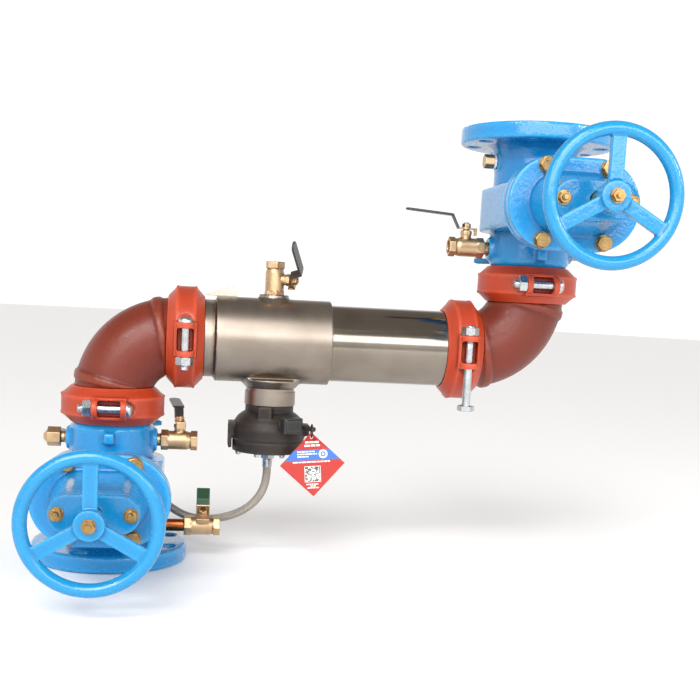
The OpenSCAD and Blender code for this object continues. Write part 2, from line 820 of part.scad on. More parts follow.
// Short wide lever with a curled front lip
module short_lever(nipple, turn) {
    translate([nipple + ball_at, 0, lever_z]) rotate([0, 0, turn]) {
        difference() {
            rotate([90, 0, 0]) translate([0, 0, -10]) linear_extrude(20)
                polygon([[-13, -6], [-13, 0], [14, 0], [21, 7], [42, 9], [42, 12], [20, 10], [13, lever_t],
                    [-15.5, lever_t], [-15.5, -6]]);
            translate([0, 0, -1]) cylinder(r = cock_stem_r + run_fit, h = 5);
        }
        cock_nut();
    }
}

module at_cock(k) {
    if (k == 1) translate([boss_low_x, 0, tap_low]) rotate([35, 0, 0]) children();
    if (k == 2) translate([boss_x, 0, tap_high]) children();
    if (k == 3) translate([relief_x, 0, pipe_z + shell_d / 2]) rotate([0, 0, 157]) rotate([0, -90, 0]) children();
    if (k == 4) at_outlet() translate([boss_x, 0, tap_high]) rotate([180, 0, 0]) children();
}

// ---- pipe fittings, hose, tag --------------------------------------------------------------

module copper_nipple() {
    at_cock(1) difference() {
        bar(9.3, -10, cock_low_nipple);
        bar(way_r, -11, cock_low_nipple + 1);
    }
}

module side_plug() {
    bar(tap_r - loose, -8, 4);
    hex_bar(19, 3.5, 18);
}

// Side fitting: hexagon with a pointed cap, its outlet to the back takes the hose
module side_fitting() {
    translate([-boss_x, 0, tap_high]) mirror([1, 0, 0]) difference() {
        union() {
            bar(tap_r - loose, -12, 1);
            bar(8.5, 0, 9);
            hex_bar(25.4, 8, 27);
            translate([27, 0, 0]) rotate([0, 90, 0]) cylinder(r1 = 11, r2 = 4, h = 6);
            translate([17.5, 0, 0]) rotate([-90, 0, 0]) cylinder(r = 8, h = 20);
        }
        bar(5, -13, 17.5);
        translate([17.5, 0, 0]) rotate([-90, 0, 0]) cylinder(r = 5, h = 21);
    }
}

module fittings() {
    copper_nipple();
    side_fitting();
    at_outlet() translate([boss_low_x, 0, tap_low]) side_plug();
    at_outlet() translate([-boss_x, 0, tap_high]) mirror([1, 0, 0]) side_plug();
}

module hose_ends() {
    translate([relief_x, 0, 0]) difference() {
        union() {
            translate([0, 0, cover_low - 12]) cylinder(d = 20 / cos(30), h = 7, $fn = 6);
            translate([0, 0, hose_top]) cylinder(r = 7.6, h = cover_low - 12 - hose_top + 1);
            translate([0, 0, cover_low - 6]) cylinder(r = 4.9, h = 8);
        }
        translate([0, 0, hose_top - 1]) cylinder(r = 3, h = 40);
    }
    translate([hose_end[0], 0, hose_end[2]]) rotate([-90, 0, 0]) difference() {
        union() {
            translate([0, 0, 20]) cylinder(d = 20 / cos(30), h = 8, $fn = 6);
            translate([0, 0, 27]) cylinder(r = 7.6, h = hose_end[1] - 27);
        }
        translate([0, 0, 19]) cylinder(r = 3, h = 40);
    }
}

module tag() {
    translate(tag_at) rotate([90, 0, 0]) translate([0, 0, -0.6]) difference() {
        rotate([0, 0, 4.7]) translate([0, tag_corner - tag_side / sqrt(2), 0]) rotate([0, 0, 45])
            translate([-tag_side / 2, -tag_side / 2, 0]) cube([tag_side, tag_side, 1.2]);
        translate([0, 0, -1]) cylinder(r = 2.6, h = 4);
    }
}

module tie() {
    translate([tag_at[0], tag_at[1], tag_at[2] + tie_r]) rotate([0, 90, 0])
        rotate_extrude() translate([tie_r, 0]) circle(r = 1.2);
}

module tab() {
    translate([0, 1.5, pipe_z + shell_d / 2 + 0.2]) rotate([90, 0, 0]) difference() {
        linear_extrude(3) polygon([[131, 0], [131, 4], [158, 17.5], [172, 17.5], [176, 14], [177, 0]]);
        translate([167, 12.5, -1]) cylinder(r = 3.7, h = 5);
    }
}

// ---- nodes ---------------------------------------------------------------------------------

module inlet_valve_body() { color(BLUE) at_inlet() valve_body(); }
module outlet_valve_body() { color(BLUE) at_outlet() valve_body(); }
module inlet_bonnet() { color(BLUE) at_inlet() bonnet(); }
module outlet_bonnet() { color(BLUE) at_outlet() bonnet(); }
module bonnet_gaskets() { color(RUBBER) both_valves() bonnet_gasket(); }
module bonnet_bolts() { color(GOLD) both_valves() valve_bonnet_bolts(); }
module seal_plates() { color(BLUE) both_valves() seal_plate(); }
module seal_plate_bolts() { color(GOLD) both_valves() valve_seal_bolts(); }
module inlet_stem() { color(BRASS) at_inlet() stem(); }
module outlet_stem() { color(BRASS) at_outlet() stem(); }
module inlet_wedge() { color(RUBBER) at_inlet() wedge(); }
module outlet_wedge() { color(RUBBER) at_outlet() wedge(); }
module inlet_wedge_nut() { color(BRASS) at_inlet() wedge_nut(); }
module outlet_wedge_nut() { color(BRASS) at_outlet() wedge_nut(); }
module inlet_handwheel() { color(BLUE) at_inlet() handwheel(0); }
module outlet_handwheel() { color(BLUE) at_outlet() handwheel(180); }
module inlet_wheel_nut() { color(GOLD) at_inlet() wheel_nut(); }
module outlet_wheel_nut() { color(GOLD) at_outlet() wheel_nut(); }
module coupling_1() { color(ORANGE) at_joint(1) coupling(); }
module coupling_2() { color(ORANGE) at_joint(2) coupling(); }
module coupling_3() { color(ORANGE) at_joint(3) coupling(); }
module coupling_4() { color(ORANGE) at_joint(4) coupling(); }
module coupling_gaskets() { color(RUBBER) for (k = [1:4]) at_joint(k) coupling_gasket(); }
module coupling_bolts() { color(ZINC) for (k = [1:4], s = [-1, 1]) at_joint(k) coupling_bolt(k, s); }
module inlet_elbow() { color(BROWN) translate([0, 0, pipe_z]) elbow(); }
module outlet_elbow() { color(BROWN) translate([leg_spacing, 0, pipe_z]) rotate([0, 180, 0]) elbow(); }
module check_shell() { color(STEEL) shell(); }
module outlet_tube() { color(STEEL) tube(); }
module relief_neck() { color(STEEL) neck(); }
module check_1_seat() { color(BRASS) at_check(1) check_seat(check_r - run_fit, 41, 50); }
module check_2_seat() { color(BRASS) at_check(2) check_seat(tube_r - run_fit, 35, 44); }
module check_1_clapper() { color(BRASS) at_check(1) clapper(41, 50); }
module check_2_clapper() { color(BRASS) at_check(2) clapper(35, 44); }
module check_1_spring() { color(ZINC) at_check(1) torsion_spring(50); }
module check_2_spring() { color(ZINC) at_check(2) torsion_spring(44); }
module relief_body() { color(BLACK) relief_case(); }
module relief_cover() { color(BLACK) relief_lid(); }
module relief_diaphragm() { color(RUBBER) diaphragm(); }
module relief_stem() { color(BRASS) relief_spindle(); }
module relief_spring() { color(ZINC) relief_coil(); }
module relief_screws() { color(ZINC) cover_screws(); }
module sensor_box() { color(BLACK) sensor(); }
module cock_1_body() { color(BRASS) at_cock(1) cock_body(cock_low_nipple, cock_low_nipple); }
module cock_2_body() { color(BRASS) at_cock(2) cock_body(cock_nipple, -thread_in); }
module cock_3_body() { color(BRASS) at_cock(3) cock_body(cock_3_nipple, -thread_in); }
module cock_4_body() { color(BRASS) at_cock(4) cock_body(cock_4_nipple, -thread_in); }
module cock_1_ball() { color(BRASS) at_cock(1) cock_ball(cock_low_nipple, cock_turn[0]); }
module cock_2_ball() { color(BRASS) at_cock(2) cock_ball(cock_nipple, cock_turn[1]); }
module cock_3_ball() { color(BRASS) at_cock(3) cock_ball(cock_3_nipple, cock_turn[2]); }
module cock_4_ball() { color(BRASS) at_cock(4) cock_ball(cock_4_nipple, cock_turn[3]); }
module cock_1_lever() { color(GREEN) at_cock(1) short_lever(cock_low_nipple, cock_turn[0]); }
module cock_2_lever() { color(BLACK) at_cock(2) long_lever(cock_nipple, cock_turn[1]); }
module cock_3_lever() { color(BLACK) at_cock(3) long_lever(cock_3_nipple, cock_turn[2]); }
module cock_4_lever() { color(BLACK) at_cock(4) long_lever(cock_4_nipple, cock_turn[3]); }
module pipe_fittings() { color(BRASS) fittings(); }
module hose() { color(ZINC) sweep(hose_route, hose_d / 2, 10); }
module hose_fittings() { color(ZINC) hose_ends(); }
module hang_tag() { color(WHITE) tag(); }
module tag_tie() { color(BLACK) tie(); }
module plastic_tab() { color(MILK) tab(); }

inlet_valve_body();
outlet_valve_body();
inlet_bonnet();
outlet_bonnet();
bonnet_gaskets();
bonnet_bolts();
seal_plates();
seal_plate_bolts();
inlet_stem();
outlet_stem();
inlet_wedge();
outlet_wedge();
inlet_wedge_nut();
outlet_wedge_nut();
inlet_handwheel();
outlet_handwheel();
inlet_wheel_nut();
outlet_wheel_nut();
coupling_1();
coupling_2();
coupling_3();
coupling_4();
coupling_gaskets();
coupling_bolts();
inlet_elbow();
outlet_elbow();
check_shell();
outlet_tube();
relief_neck();
check_1_seat();
check_2_seat();
check_1_clapper();
check_2_clapper();
check_1_spring();
check_2_spring();
relief_body();
relief_cover();
relief_diaphragm();
relief_stem();
relief_spring();
relief_screws();
sensor_box();
cock_1_body();
cock_2_body();
cock_3_body();
cock_4_body();
cock_1_ball();
cock_2_ball();
cock_3_ball();
cock_4_ball();
cock_1_lever();
cock_2_lever();
cock_3_lever();
cock_4_lever();
pipe_fittings();
hose();
hose_fittings();
hang_tag();
tag_tie();
plastic_tab();
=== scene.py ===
"""Looks of a 4 inch reduced-pressure backflow preventer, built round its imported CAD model.

Sizes of real things are given in millimetres and turned to metres by MM. The frame is the
CAD's: origin at the centre of the inlet flange's face, +Z up, +X towards the outlet leg, -Y
towards the handwheels.
"""

import logging
import math
from collections.abc import Callable
from dataclasses import dataclass, field
from enum import Enum

import bmesh
import bpy
import numpy as np
from mathutils import Matrix, Vector


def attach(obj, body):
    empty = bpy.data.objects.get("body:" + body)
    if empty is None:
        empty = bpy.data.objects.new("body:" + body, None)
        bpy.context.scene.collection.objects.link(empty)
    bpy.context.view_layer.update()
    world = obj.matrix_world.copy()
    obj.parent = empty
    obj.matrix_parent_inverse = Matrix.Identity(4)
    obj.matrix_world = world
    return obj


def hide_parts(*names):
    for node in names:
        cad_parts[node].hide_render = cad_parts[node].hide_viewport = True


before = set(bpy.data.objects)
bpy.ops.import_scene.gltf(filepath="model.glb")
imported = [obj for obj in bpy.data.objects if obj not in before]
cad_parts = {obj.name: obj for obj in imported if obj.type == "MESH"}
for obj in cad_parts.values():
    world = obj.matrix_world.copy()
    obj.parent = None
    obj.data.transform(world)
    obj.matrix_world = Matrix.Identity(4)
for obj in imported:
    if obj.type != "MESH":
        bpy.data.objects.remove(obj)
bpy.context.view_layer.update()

MM = 0.001
LOG = logging.getLogger("backflow_preventer")
Point = tuple[float, float, float]

# Main places of the assembly, as the CAD has them, in millimetres
LEG_SPACING = 620.0
PIPE_Z = 333.4
TOP_Z = 666.8
PIPE_R = 57.15
VALVE_CENTRE = 121.0
WHEEL_PLANE = 337.0
BONNET_FACE = 197.0
SEAL_FACE = 283.0
SHELL_R = 63.0
RELIEF_X = 232.0
# Middle of each coupling in X and Z, and how far its two bolts stand from the pipe's axis
COUPLINGS = {1: (0.0, 230.2), 2: (103.2, PIPE_Z), 3: (516.8, PIPE_Z), 4: (LEG_SPACING, 436.6)}
TRACK_BOLT_Y = 78.0


# ---- small tools ---------------------------------------------------------------------------


def linear(code: str) -> tuple[float, float, float, float]:
    """Turn an sRGB hex colour such as "#3c96dc" into linear RGBA.

    Args:
        code: the colour as six hex digits with a leading "#".

    Returns:
        Red, green, blue and alpha, linear.
    """
    parts = [int(code[i : i + 2], 16) / 255 for i in (1, 3, 5)]
    flat = [c / 12.92 if c <= 0.04045 else ((c + 0.055) / 1.055) ** 2.4 for c in parts]
    return flat[0], flat[1], flat[2], 1.0


def add_node(
    tree: bpy.types.NodeTree, kind: str, inputs: dict | None = None, **settings: object
) -> bpy.types.Node:
    """Add one node, set its properties, then set or link its inputs.

    Args:
        tree: the shader or geometry tree that gets the node.
        kind: the node's type name.
        inputs: socket name or index to a value, or to the output socket that feeds it.
        settings: the node's own properties.

    Returns:
        The new node.
    """
    node = tree.nodes.new(kind)
    for name, value in settings.items():
        setattr(node, name, value)
    for key, value in (inputs or {}).items():
        if isinstance(value, bpy.types.NodeSocket):
            tree.links.new(value, node.inputs[key])
        else:
            node.inputs[key].default_value = value
    return node


def make_object(name: str, mesh: bpy.types.Mesh) -> bpy.types.Object:
    """Link a mesh into the scene as an object at the origin."""
    made = bpy.data.objects.new(name, mesh)
    bpy.context.scene.collection.objects.link(made)
    return made


def from_bmesh(name: str, shape: bmesh.types.BMesh, sharp: float = 35.0) -> bpy.types.Object:
    """Turn a bmesh into a smooth-shaded object whose edges past an angle stay sharp.

    Args:
        name: the new object's name.
        shape: the geometry, in metres in the row frame; it is freed.
        sharp: the angle in degrees past which an edge is drawn sharp.

    Returns:
        The object.
    """
    mesh = bpy.data.meshes.new(name)
    shape.to_mesh(mesh)
    shape.free()
    mesh.polygons.foreach_set("use_smooth", [True] * len(mesh.polygons))
    mesh.set_sharp_from_angle(angle=math.radians(sharp))
    return make_object(name, mesh)


def baked(thing: bpy.types.Object) -> bpy.types.Object:
    """Replace an object's mesh by its evaluated one and drop its modifiers.

    Args:
        thing: the object with modifiers on it.

    Returns:
        The same object.
    """
    graph = bpy.context.evaluated_depsgraph_get()
    graph.update()
    mesh = bpy.data.meshes.new_from_object(thing.evaluated_get(graph))
    old = thing.data
    thing.modifiers.clear()
    thing.data = mesh
    if old.users == 0:
        bpy.data.meshes.remove(old)
    mesh.name = thing.name
    return thing


def coordinates(mesh: bpy.types.Mesh) -> np.ndarray:
    """A mesh's vertices as an N by 3 array, in metres."""
    co = np.empty(len(mesh.vertices) * 3)
    mesh.vertices.foreach_get("co", co)
    return co.reshape(-1, 3)


def wear_attributes(mesh: bpy.types.Mesh, reach: float) -> None:
    """Write how proud ("crest") and how sunk ("crevice") each vertex is, from 0 to 1.

    Args:
        mesh: an evenly divided mesh.
        reach: the height over its neighbours, in metres, that counts as 1.
    """
    co = coordinates(mesh)
    normal = np.empty(len(mesh.vertices) * 3)
    mesh.vertices.foreach_get("normal", normal)
    normal = normal.reshape(-1, 3)
    ends = np.empty(len(mesh.edges) * 2, dtype=np.int64)
    mesh.edges.foreach_get("vertices", ends)
    a, b = ends.reshape(-1, 2).T
    count = np.maximum(np.bincount(a, minlength=len(co)) + np.bincount(b, minlength=len(co)), 1)

    def neighbours(values: np.ndarray) -> np.ndarray:
        """Mean of each vertex's neighbours."""
        total = np.bincount(a, values[b], len(co)) + np.bincount(b, values[a], len(co))
        return total / count

    mean = np.stack([neighbours(co[:, k]) for k in range(3)], axis=1)
    height = np.einsum("ij,ij->i", co - mean, normal)
    for _ in range(6):
        height = 0.4 * height + 0.6 * neighbours(height)
    for name, sign in (("crest", 1.0), ("crevice", -1.0)):
        # crevice drives the painted shade in corners of the finishes; crest makes some finishes lighter on
        # crests
        layer = mesh.attributes.new(name, "FLOAT", "POINT")
        layer.data.foreach_set("value", np.clip(sign * height / reach, 0, 1).astype(np.float32))


# ---- finishes ------------------------------------------------------------------------------


@dataclass(frozen=True)
class Finish:
    """A surface finish that can be made into a material."""

    name: str

    def make(self) -> bpy.types.Material:
        """The finish's material, made once.

        Returns:
            The material.
        """
        known = bpy.data.materials.get(self.name)
        if known:
            return known
        material = bpy.data.materials.new(self.name)
        material.use_nodes = True
        tree = material.node_tree
        tree.nodes.clear()
        shader = add_node(tree, "ShaderNodeBsdfPrincipled")
        add_node(tree, "ShaderNodeOutputMaterial", {"Surface": shader.outputs["BSDF"]})
        self.dress(tree, shader)
        return material

    def dress(self, tree: bpy.types.NodeTree, shader: bpy.types.Node) -> None:
        """Add the nodes that give this finish its look.

        Args:
            tree: the material's tree.
            shader: the Principled node that the finish sets.
        """
        raise NotImplementedError

    def put_on(self, *things: bpy.types.Object) -> None:
        """Make this finish the only material of each object."""
        for thing in things:
            thing.data.materials.clear()
            thing.data.materials.append(self.make())


@dataclass(frozen=True)
class CastCoating(Finish):
    """Paint or powder over a sand casting: the sand's grain shows through as soft pimples.

    The grain of green-sand iron is about 1 mm; it is drawn at 3 to 4 mm, the smallest that
    shows at arm's length. Colour is lighter on crests and is darkened in corners by painted shade.
    """

    colour: str
    # deep is the darker tone of the random clouds, and also the painted shade in corners
    deep: str
    light: str
    roughness: float = 0.32
    grain_mm: float = 3.6
    grain_depth_mm: float = 0.35
    peel_mm: float = 11.0
    peel_depth_mm: float = 0.3
    coat: float = 0.25
    gloss: float = 0.4

    def dress(self, tree: bpy.types.NodeTree, shader: bpy.types.Node) -> None:
        """Grain and orange peel as bump, cloudy colour, lighter crests and painted shade in corners.

        Args:
            tree: the material's tree.
            shader: the Principled node that the finish sets.
        """
        place = add_node(tree, "ShaderNodeTexCoord").outputs["Object"]
        grain = add_node(
            tree, "ShaderNodeTexNoise", {"Vector": place, "Scale": 1 / (self.grain_mm * MM), "Detail": 2.0}
        ).outputs["Fac"]
        peel = add_node(
            tree, "ShaderNodeTexNoise", {"Vector": place, "Scale": 1 / (self.peel_mm * MM), "Detail": 1.0}
        ).outputs["Fac"]
        cloud = add_node(
            tree, "ShaderNodeTexNoise", {"Vector": place, "Scale": 1 / (75 * MM), "Detail": 3.0}
        ).outputs["Fac"]
        crest = add_node(tree, "ShaderNodeAttribute", attribute_name="crest").outputs["Fac"]
        crevice = add_node(tree, "ShaderNodeAttribute", attribute_name="crevice").outputs["Fac"]
        cloudy = add_node(tree, "ShaderNodeMapRange", {"Value": cloud, 1: 0.35, 2: 0.7, 3: 0.0, 4: 0.35})
        base = add_node(
            tree,
            "ShaderNodeMix",
            {0: cloudy.outputs[0], 6: linear(self.colour), 7: linear(self.deep)},
            data_type="RGBA",
        )
        # Painted shade: the colour darkens towards deep where the crevice attribute is high
        sunk = add_node(
            tree, "ShaderNodeMix", {0: crevice, 6: base.outputs[2], 7: linear(self.deep)}, data_type="RGBA"
        )
        worn = add_node(tree, "ShaderNodeMath", {0: crest, 1: grain}, operation="MULTIPLY")
        top = add_node(
            tree,
            "ShaderNodeMix",
            {0: worn.outputs[0], 6: sunk.outputs[2], 7: linear(self.light)},
            data_type="RGBA",
        )
        tree.links.new(top.outputs[2], shader.inputs["Base Color"])
        rough = add_node(
            tree,
            "ShaderNodeMapRange",
            {"Value": grain, 1: 0.3, 2: 0.7, 3: self.roughness - 0.06, 4: self.roughness + 0.1},
        )
        tree.links.new(rough.outputs[0], shader.inputs["Roughness"])
        shader.inputs["Specular IOR Level"].default_value = self.gloss
        shader.inputs["Coat Weight"].default_value = self.coat
        shader.inputs["Coat Roughness"].default_value = 0.08
        first = add_node(
            tree, "ShaderNodeBump", {"Strength": 1.0, "Distance": self.peel_depth_mm * MM, "Height": peel}
        )
        second = add_node(
            tree,
            "ShaderNodeBump",
            {
                "Strength": 1.0,
                "Distance": self.grain_depth_mm * MM,
                "Height": grain,
                "Normal": first.outputs[0],
            },
        )
        tree.links.new(second.outputs[0], shader.inputs["Normal"])
        tree.links.new(second.outputs[0], shader.inputs["Coat Normal"])


class Lay(Enum):
    """The direction that the marks of polishing or turning run on a metal."""

    ROUND_X = (1.0, 0.06, 0.06)
    ALONG_X = (0.03, 1.0, 1.0)
    ROUND_Z = (0.06, 0.06, 1.0)
    NONE = (1.0, 1.0, 1.0)


@dataclass(frozen=True)
class BareMetal(Finish):
    """Polished, brushed, cast or plated metal with marks of a given spacing and direction."""

    colour: str
    deep: str
    roughness: float = 0.25
    spread: float = 0.1
    mark_mm: float = 2.0
    mark_depth_mm: float = 0.01
    lay: Lay = Lay.NONE
    cloud_mm: float = 60.0
    stain: float = 0.5

    def dress(self, tree: bpy.types.NodeTree, shader: bpy.types.Node) -> None:
        """Marks in bump and roughness, a slow drift between two shades of the metal, and painted shade in
        crevices.

        Args:
            tree: the material's tree.
            shader: the Principled node that the finish sets.
        """
        place = add_node(tree, "ShaderNodeTexCoord").outputs["Object"]
        stretched = add_node(
            tree, "ShaderNodeMapping", {"Vector": place, "Scale": self.lay.value}
        ).outputs["Vector"]
        marks = add_node(
            tree,
            "ShaderNodeTexNoise",
            {"Vector": stretched, "Scale": 1 / (self.mark_mm * MM), "Detail": 4.0, "Roughness": 0.6},
        ).outputs["Fac"]
        cloud = add_node(
            tree,
            "ShaderNodeTexNoise",
            {"Vector": place, "Scale": 1 / (self.cloud_mm * MM), "Detail": 3.0, "Distortion": 0.4},
        ).outputs["Fac"]
        drift = add_node(
            tree, "ShaderNodeMapRange", {"Value": cloud, 1: 0.35, 2: 0.7, 3: 0.0, 4: self.stain}
        )
        # Painted shade: crevices darken the metal towards deep
        crevice = add_node(tree, "ShaderNodeAttribute", attribute_name="crevice").outputs["Fac"]
        most = add_node(
            tree, "ShaderNodeMath", {0: drift.outputs[0], 1: crevice}, operation="ADD", use_clamp=True
        )
        tint = add_node(
            tree,
            "ShaderNodeMix",
            {0: most.outputs[0], 6: linear(self.colour), 7: linear(self.deep)},
            data_type="RGBA",
        )
        tree.links.new(tint.outputs[2], shader.inputs["Base Color"])
        shader.inputs["Metallic"].default_value = 1.0
        rough = add_node(
            tree,
            "ShaderNodeMapRange",
            {
                "Value": marks,
                1: 0.3,
                2: 0.7,
                3: max(self.roughness - self.spread, 0.04),
                4: self.roughness + self.spread,
            },
        )
        tree.links.new(rough.outputs[0], shader.inputs["Roughness"])
        bump = add_node(
            tree, "ShaderNodeBump", {"Strength": 1.0, "Distance": self.mark_depth_mm * MM, "Height": marks}
        )
        tree.links.new(bump.outputs[0], shader.inputs["Normal"])


@dataclass(frozen=True)
class Polymer(Finish):
    """Dipped, moulded or extruded plastic and rubber: fine leather-like skin, faint mottling."""

    colour: str
    light: str
    roughness: float = 0.4
    skin_mm: float = 2.5
    skin_depth_mm: float = 0.08
    through: float = 0.0
    sheen: float = 0.0

    def dress(self, tree: bpy.types.NodeTree, shader: bpy.types.Node) -> None:
        """Skin bump, mottled colour, and light passing through where the plastic is clear.

        Args:
            tree: the material's tree.
            shader: the Principled node that the finish sets.
        """
        place = add_node(tree, "ShaderNodeTexCoord").outputs["Object"]
        skin = add_node(
            tree, "ShaderNodeTexNoise", {"Vector": place, "Scale": 1 / (self.skin_mm * MM), "Detail": 2.0}
        ).outputs["Fac"]
        crest = add_node(tree, "ShaderNodeAttribute", attribute_name="crest").outputs["Fac"]
        part = add_node(tree, "ShaderNodeMath", {0: crest, 1: 0.6}, operation="MULTIPLY")
        much = add_node(
            tree, "ShaderNodeMath", {0: skin, 1: 0.3, 2: part.outputs[0]}, operation="MULTIPLY_ADD"
        )
        tint = add_node(
            tree,
            "ShaderNodeMix",
            {0: much.outputs[0], 6: linear(self.colour), 7: linear(self.light)},
            data_type="RGBA",
        )
        tree.links.new(tint.outputs[2], shader.inputs["Base Color"])
        shader.inputs["Roughness"].default_value = self.roughness
        shader.inputs["Subsurface Weight"].default_value = self.through
        shader.inputs["Subsurface Radius"].default_value = (0.004, 0.004, 0.003)
        shader.inputs["Sheen Weight"].default_value = self.sheen
        bump = add_node(
            tree, "ShaderNodeBump", {"Strength": 1.0, "Distance": self.skin_depth_mm * MM, "Height": skin}
        )
        tree.links.new(bump.outputs[0], shader.inputs["Normal"])


@dataclass(frozen=True)
class WireBraid(Finish):
    """Stainless wire braid: two sets of flat wire bands that cross at about 45 degrees.

    It reads the hose's own UV map, whose U runs along the hose in millimetres and whose V
    goes once round it.
    """

    colour: str = "#c9c0b4"
    deep: str = "#332e29"
    bands: float = 12.0
    pitch_mm: float = 30.0

    def dress(self, tree: bpy.types.NodeTree, shader: bpy.types.Node) -> None:
        """Two crossed band patterns, the higher one on top, as colour, roughness and bump; the colour
        darkens where the bands dip, as painted shade.

        Args:
            tree: the material's tree.
            shader: the Principled node that the finish sets.
        """
        uv = add_node(tree, "ShaderNodeUVMap", uv_map="along").outputs["UV"]
        parts = add_node(tree, "ShaderNodeSeparateXYZ", {"Vector": uv})
        waves = []
        for hand in (1.0, -1.0):
            along = add_node(
                tree,
                "ShaderNodeMath",
                {0: parts.outputs["X"], 1: hand * self.bands / self.pitch_mm},
                operation="MULTIPLY",
            )
            turned = add_node(
                tree,
                "ShaderNodeMath",
                {0: parts.outputs["Y"], 1: self.bands, 2: along.outputs[0]},
                operation="MULTIPLY_ADD",
            )
            angle = add_node(
                tree, "ShaderNodeMath", {0: turned.outputs[0], 1: 2 * math.pi}, operation="MULTIPLY"
            )
            wave = add_node(tree, "ShaderNodeMath", {0: angle.outputs[0]}, operation="SINE")
            waves.append(wave.outputs[0])
        high = add_node(tree, "ShaderNodeMath", {0: waves[0], 1: waves[1]}, operation="MAXIMUM")
        height = add_node(tree, "ShaderNodeMapRange", {"Value": high.outputs[0], 1: -0.6, 2: 1.0})
        # Painted shade: the wire darkens to deep where its band dips under the other
        tint = add_node(
            tree,
            "ShaderNodeMix",
            {0: height.outputs[0], 6: linear(self.deep), 7: linear(self.colour)},
            data_type="RGBA",
        )
        tree.links.new(tint.outputs[2], shader.inputs["Base Color"])
        shader.inputs["Metallic"].default_value = 0.9
        shader.inputs["Roughness"].default_value = 0.34
        bump = add_node(
            tree, "ShaderNodeBump", {"Strength": 1.0, "Distance": 0.5 * MM, "Height": height.outputs[0]}
        )
        tree.links.new(bump.outputs[0], shader.inputs["Normal"])


@dataclass(frozen=True)
class PrintedInk(Finish):
    """A flat print on laminated card: even colour with the faint grain of the stock."""

    colour: str
    roughness: float = 0.42

    def dress(self, tree: bpy.types.NodeTree, shader: bpy.types.Node) -> None:
        """Even ink with a paper-grain bump too small to change the outline of the print.

        Args:
            tree: the material's tree.
            shader: the Principled node that the finish sets.
        """
        place = add_node(tree, "ShaderNodeTexCoord").outputs["Object"]
        grain = add_node(
            tree, "ShaderNodeTexNoise", {"Vector": place, "Scale": 1 / (1.5 * MM), "Detail": 3.0}
        ).outputs["Fac"]
        deep = tuple(0.9 * c for c in linear(self.colour)[:3]) + (1.0,)
        tint = add_node(
            tree, "ShaderNodeMix", {0: grain, 6: linear(self.colour), 7: deep}, data_type="RGBA"
        )
        tree.links.new(tint.outputs[2], shader.inputs["Base Color"])
        shader.inputs["Roughness"].default_value = self.roughness
        bump = add_node(
            tree, "ShaderNodeBump", {"Strength": 0.6, "Distance": 0.02 * MM, "Height": grain}
        )
        tree.links.new(bump.outputs[0], shader.inputs["Normal"])


# Fusion-bonded epoxy on ductile iron: thick, glossy and pimpled, bright sky blue.
BLUE_EPOXY = CastCoating(
    "fusion_bonded_epoxy", "#0f86c2", "#0c6aa6", "#2f9cd6", roughness=0.2, grain_depth_mm=0.34, coat=0.5
)
# The same coat on the handwheels, whose castings were shot-blasted smooth.
WHEEL_EPOXY = CastCoating(
    "handwheel_epoxy", "#0a82b8", "#0a6ea6", "#2a98cf", roughness=0.2, grain_depth_mm=0.24, coat=0.5
)
# Dipped alkyd enamel on couplings: orange-red, its corners darkened by painted shade.
ORANGE_ENAMEL = CastCoating(
    "dipped_alkyd_enamel", "#ae3a1b", "#8a2a14", "#cf583a", roughness=0.4, grain_depth_mm=0.18, coat=0.1
)
# Red-oxide primer on elbows: browner and flatter than the couplings' enamel.
OXIDE_PRIMER = CastCoating(
    "red_oxide_primer", "#6e2614", "#541c0f", "#8a3e28", roughness=0.37, grain_depth_mm=0.12, coat=0.05
)
# Black epoxy on the relief valve: charcoal with a satin face.
BLACK_EPOXY = CastCoating(
    "satin_black_epoxy",
    "#2a2420",
    "#181311",
    "#3d3531",
    roughness=0.45,
    grain_depth_mm=0.15,
    coat=0.0,
    gloss=0.3,
)
# Bead-blasted and pickled 304 stainless: soft reflections, faintly straw-coloured.
SATIN_STAINLESS = BareMetal(
    "pickled_stainless", "#9c9186", "#786d61", roughness=0.36, spread=0.05, mark_mm=3.0, lay=Lay.ROUND_X
)
# Mill-polished 304 tube: long sharp reflections along the pipe.
BRIGHT_STAINLESS = BareMetal(
    "polished_stainless",
    "#958c81",
    "#7c7267",
    roughness=0.13,
    spread=0.03,
    mark_mm=4.0,
    mark_depth_mm=0.004,
    lay=Lay.ALONG_X,
)
# Zinc electroplate, clear chromate: bright, slightly blue and milky.
ZINC_PLATE = BareMetal("clear_zinc_plate", "#cfd2d4", "#8f9498", roughness=0.28, mark_mm=1.6, cloud_mm=14)
# Zinc electroplate, yellow chromate: gold with rainbow-brown shading.
YELLOW_ZINC = BareMetal("yellow_zinc_plate", "#b39362", "#6f5636", roughness=0.3, mark_mm=1.6, cloud_mm=9)
# Blasted forging brass: matt golden tan with a sandy skin.
FORGED_BRASS = BareMetal(
    "forged_brass",
    "#d4b58f",
    "#a07f5b",
    roughness=0.42,
    spread=0.08,
    mark_mm=2.2,
    mark_depth_mm=0.06,
    cloud_mm=18,
)
# Turned bronze of the stems: yellow, with fine lathe rings.
TURNED_BRONZE = BareMetal("turned_bronze", "#b8925a", "#80603a", roughness=0.22, mark_mm=1.2)
# Drawn copper tube: pink-orange, smooth, with brown handling stains.
DRAWN_COPPER = BareMetal("drawn_copper", "#b4683c", "#6f3c24", roughness=0.26, mark_mm=2.5, cloud_mm=16)
# Plastisol dip on the cock levers: glossy black with a soft rounded skin.
BLACK_VINYL = Polymer("black_plastisol", "#1c1917", "#3d3733", roughness=0.33)
GREEN_VINYL = Polymer("green_plastisol", "#1f4029", "#33583d", roughness=0.38)
# Moulded nylon of the sensor housing and tie.
BLACK_NYLON = Polymer("black_nylon", "#191919", "#333231", roughness=0.45, skin_depth_mm=0.04)
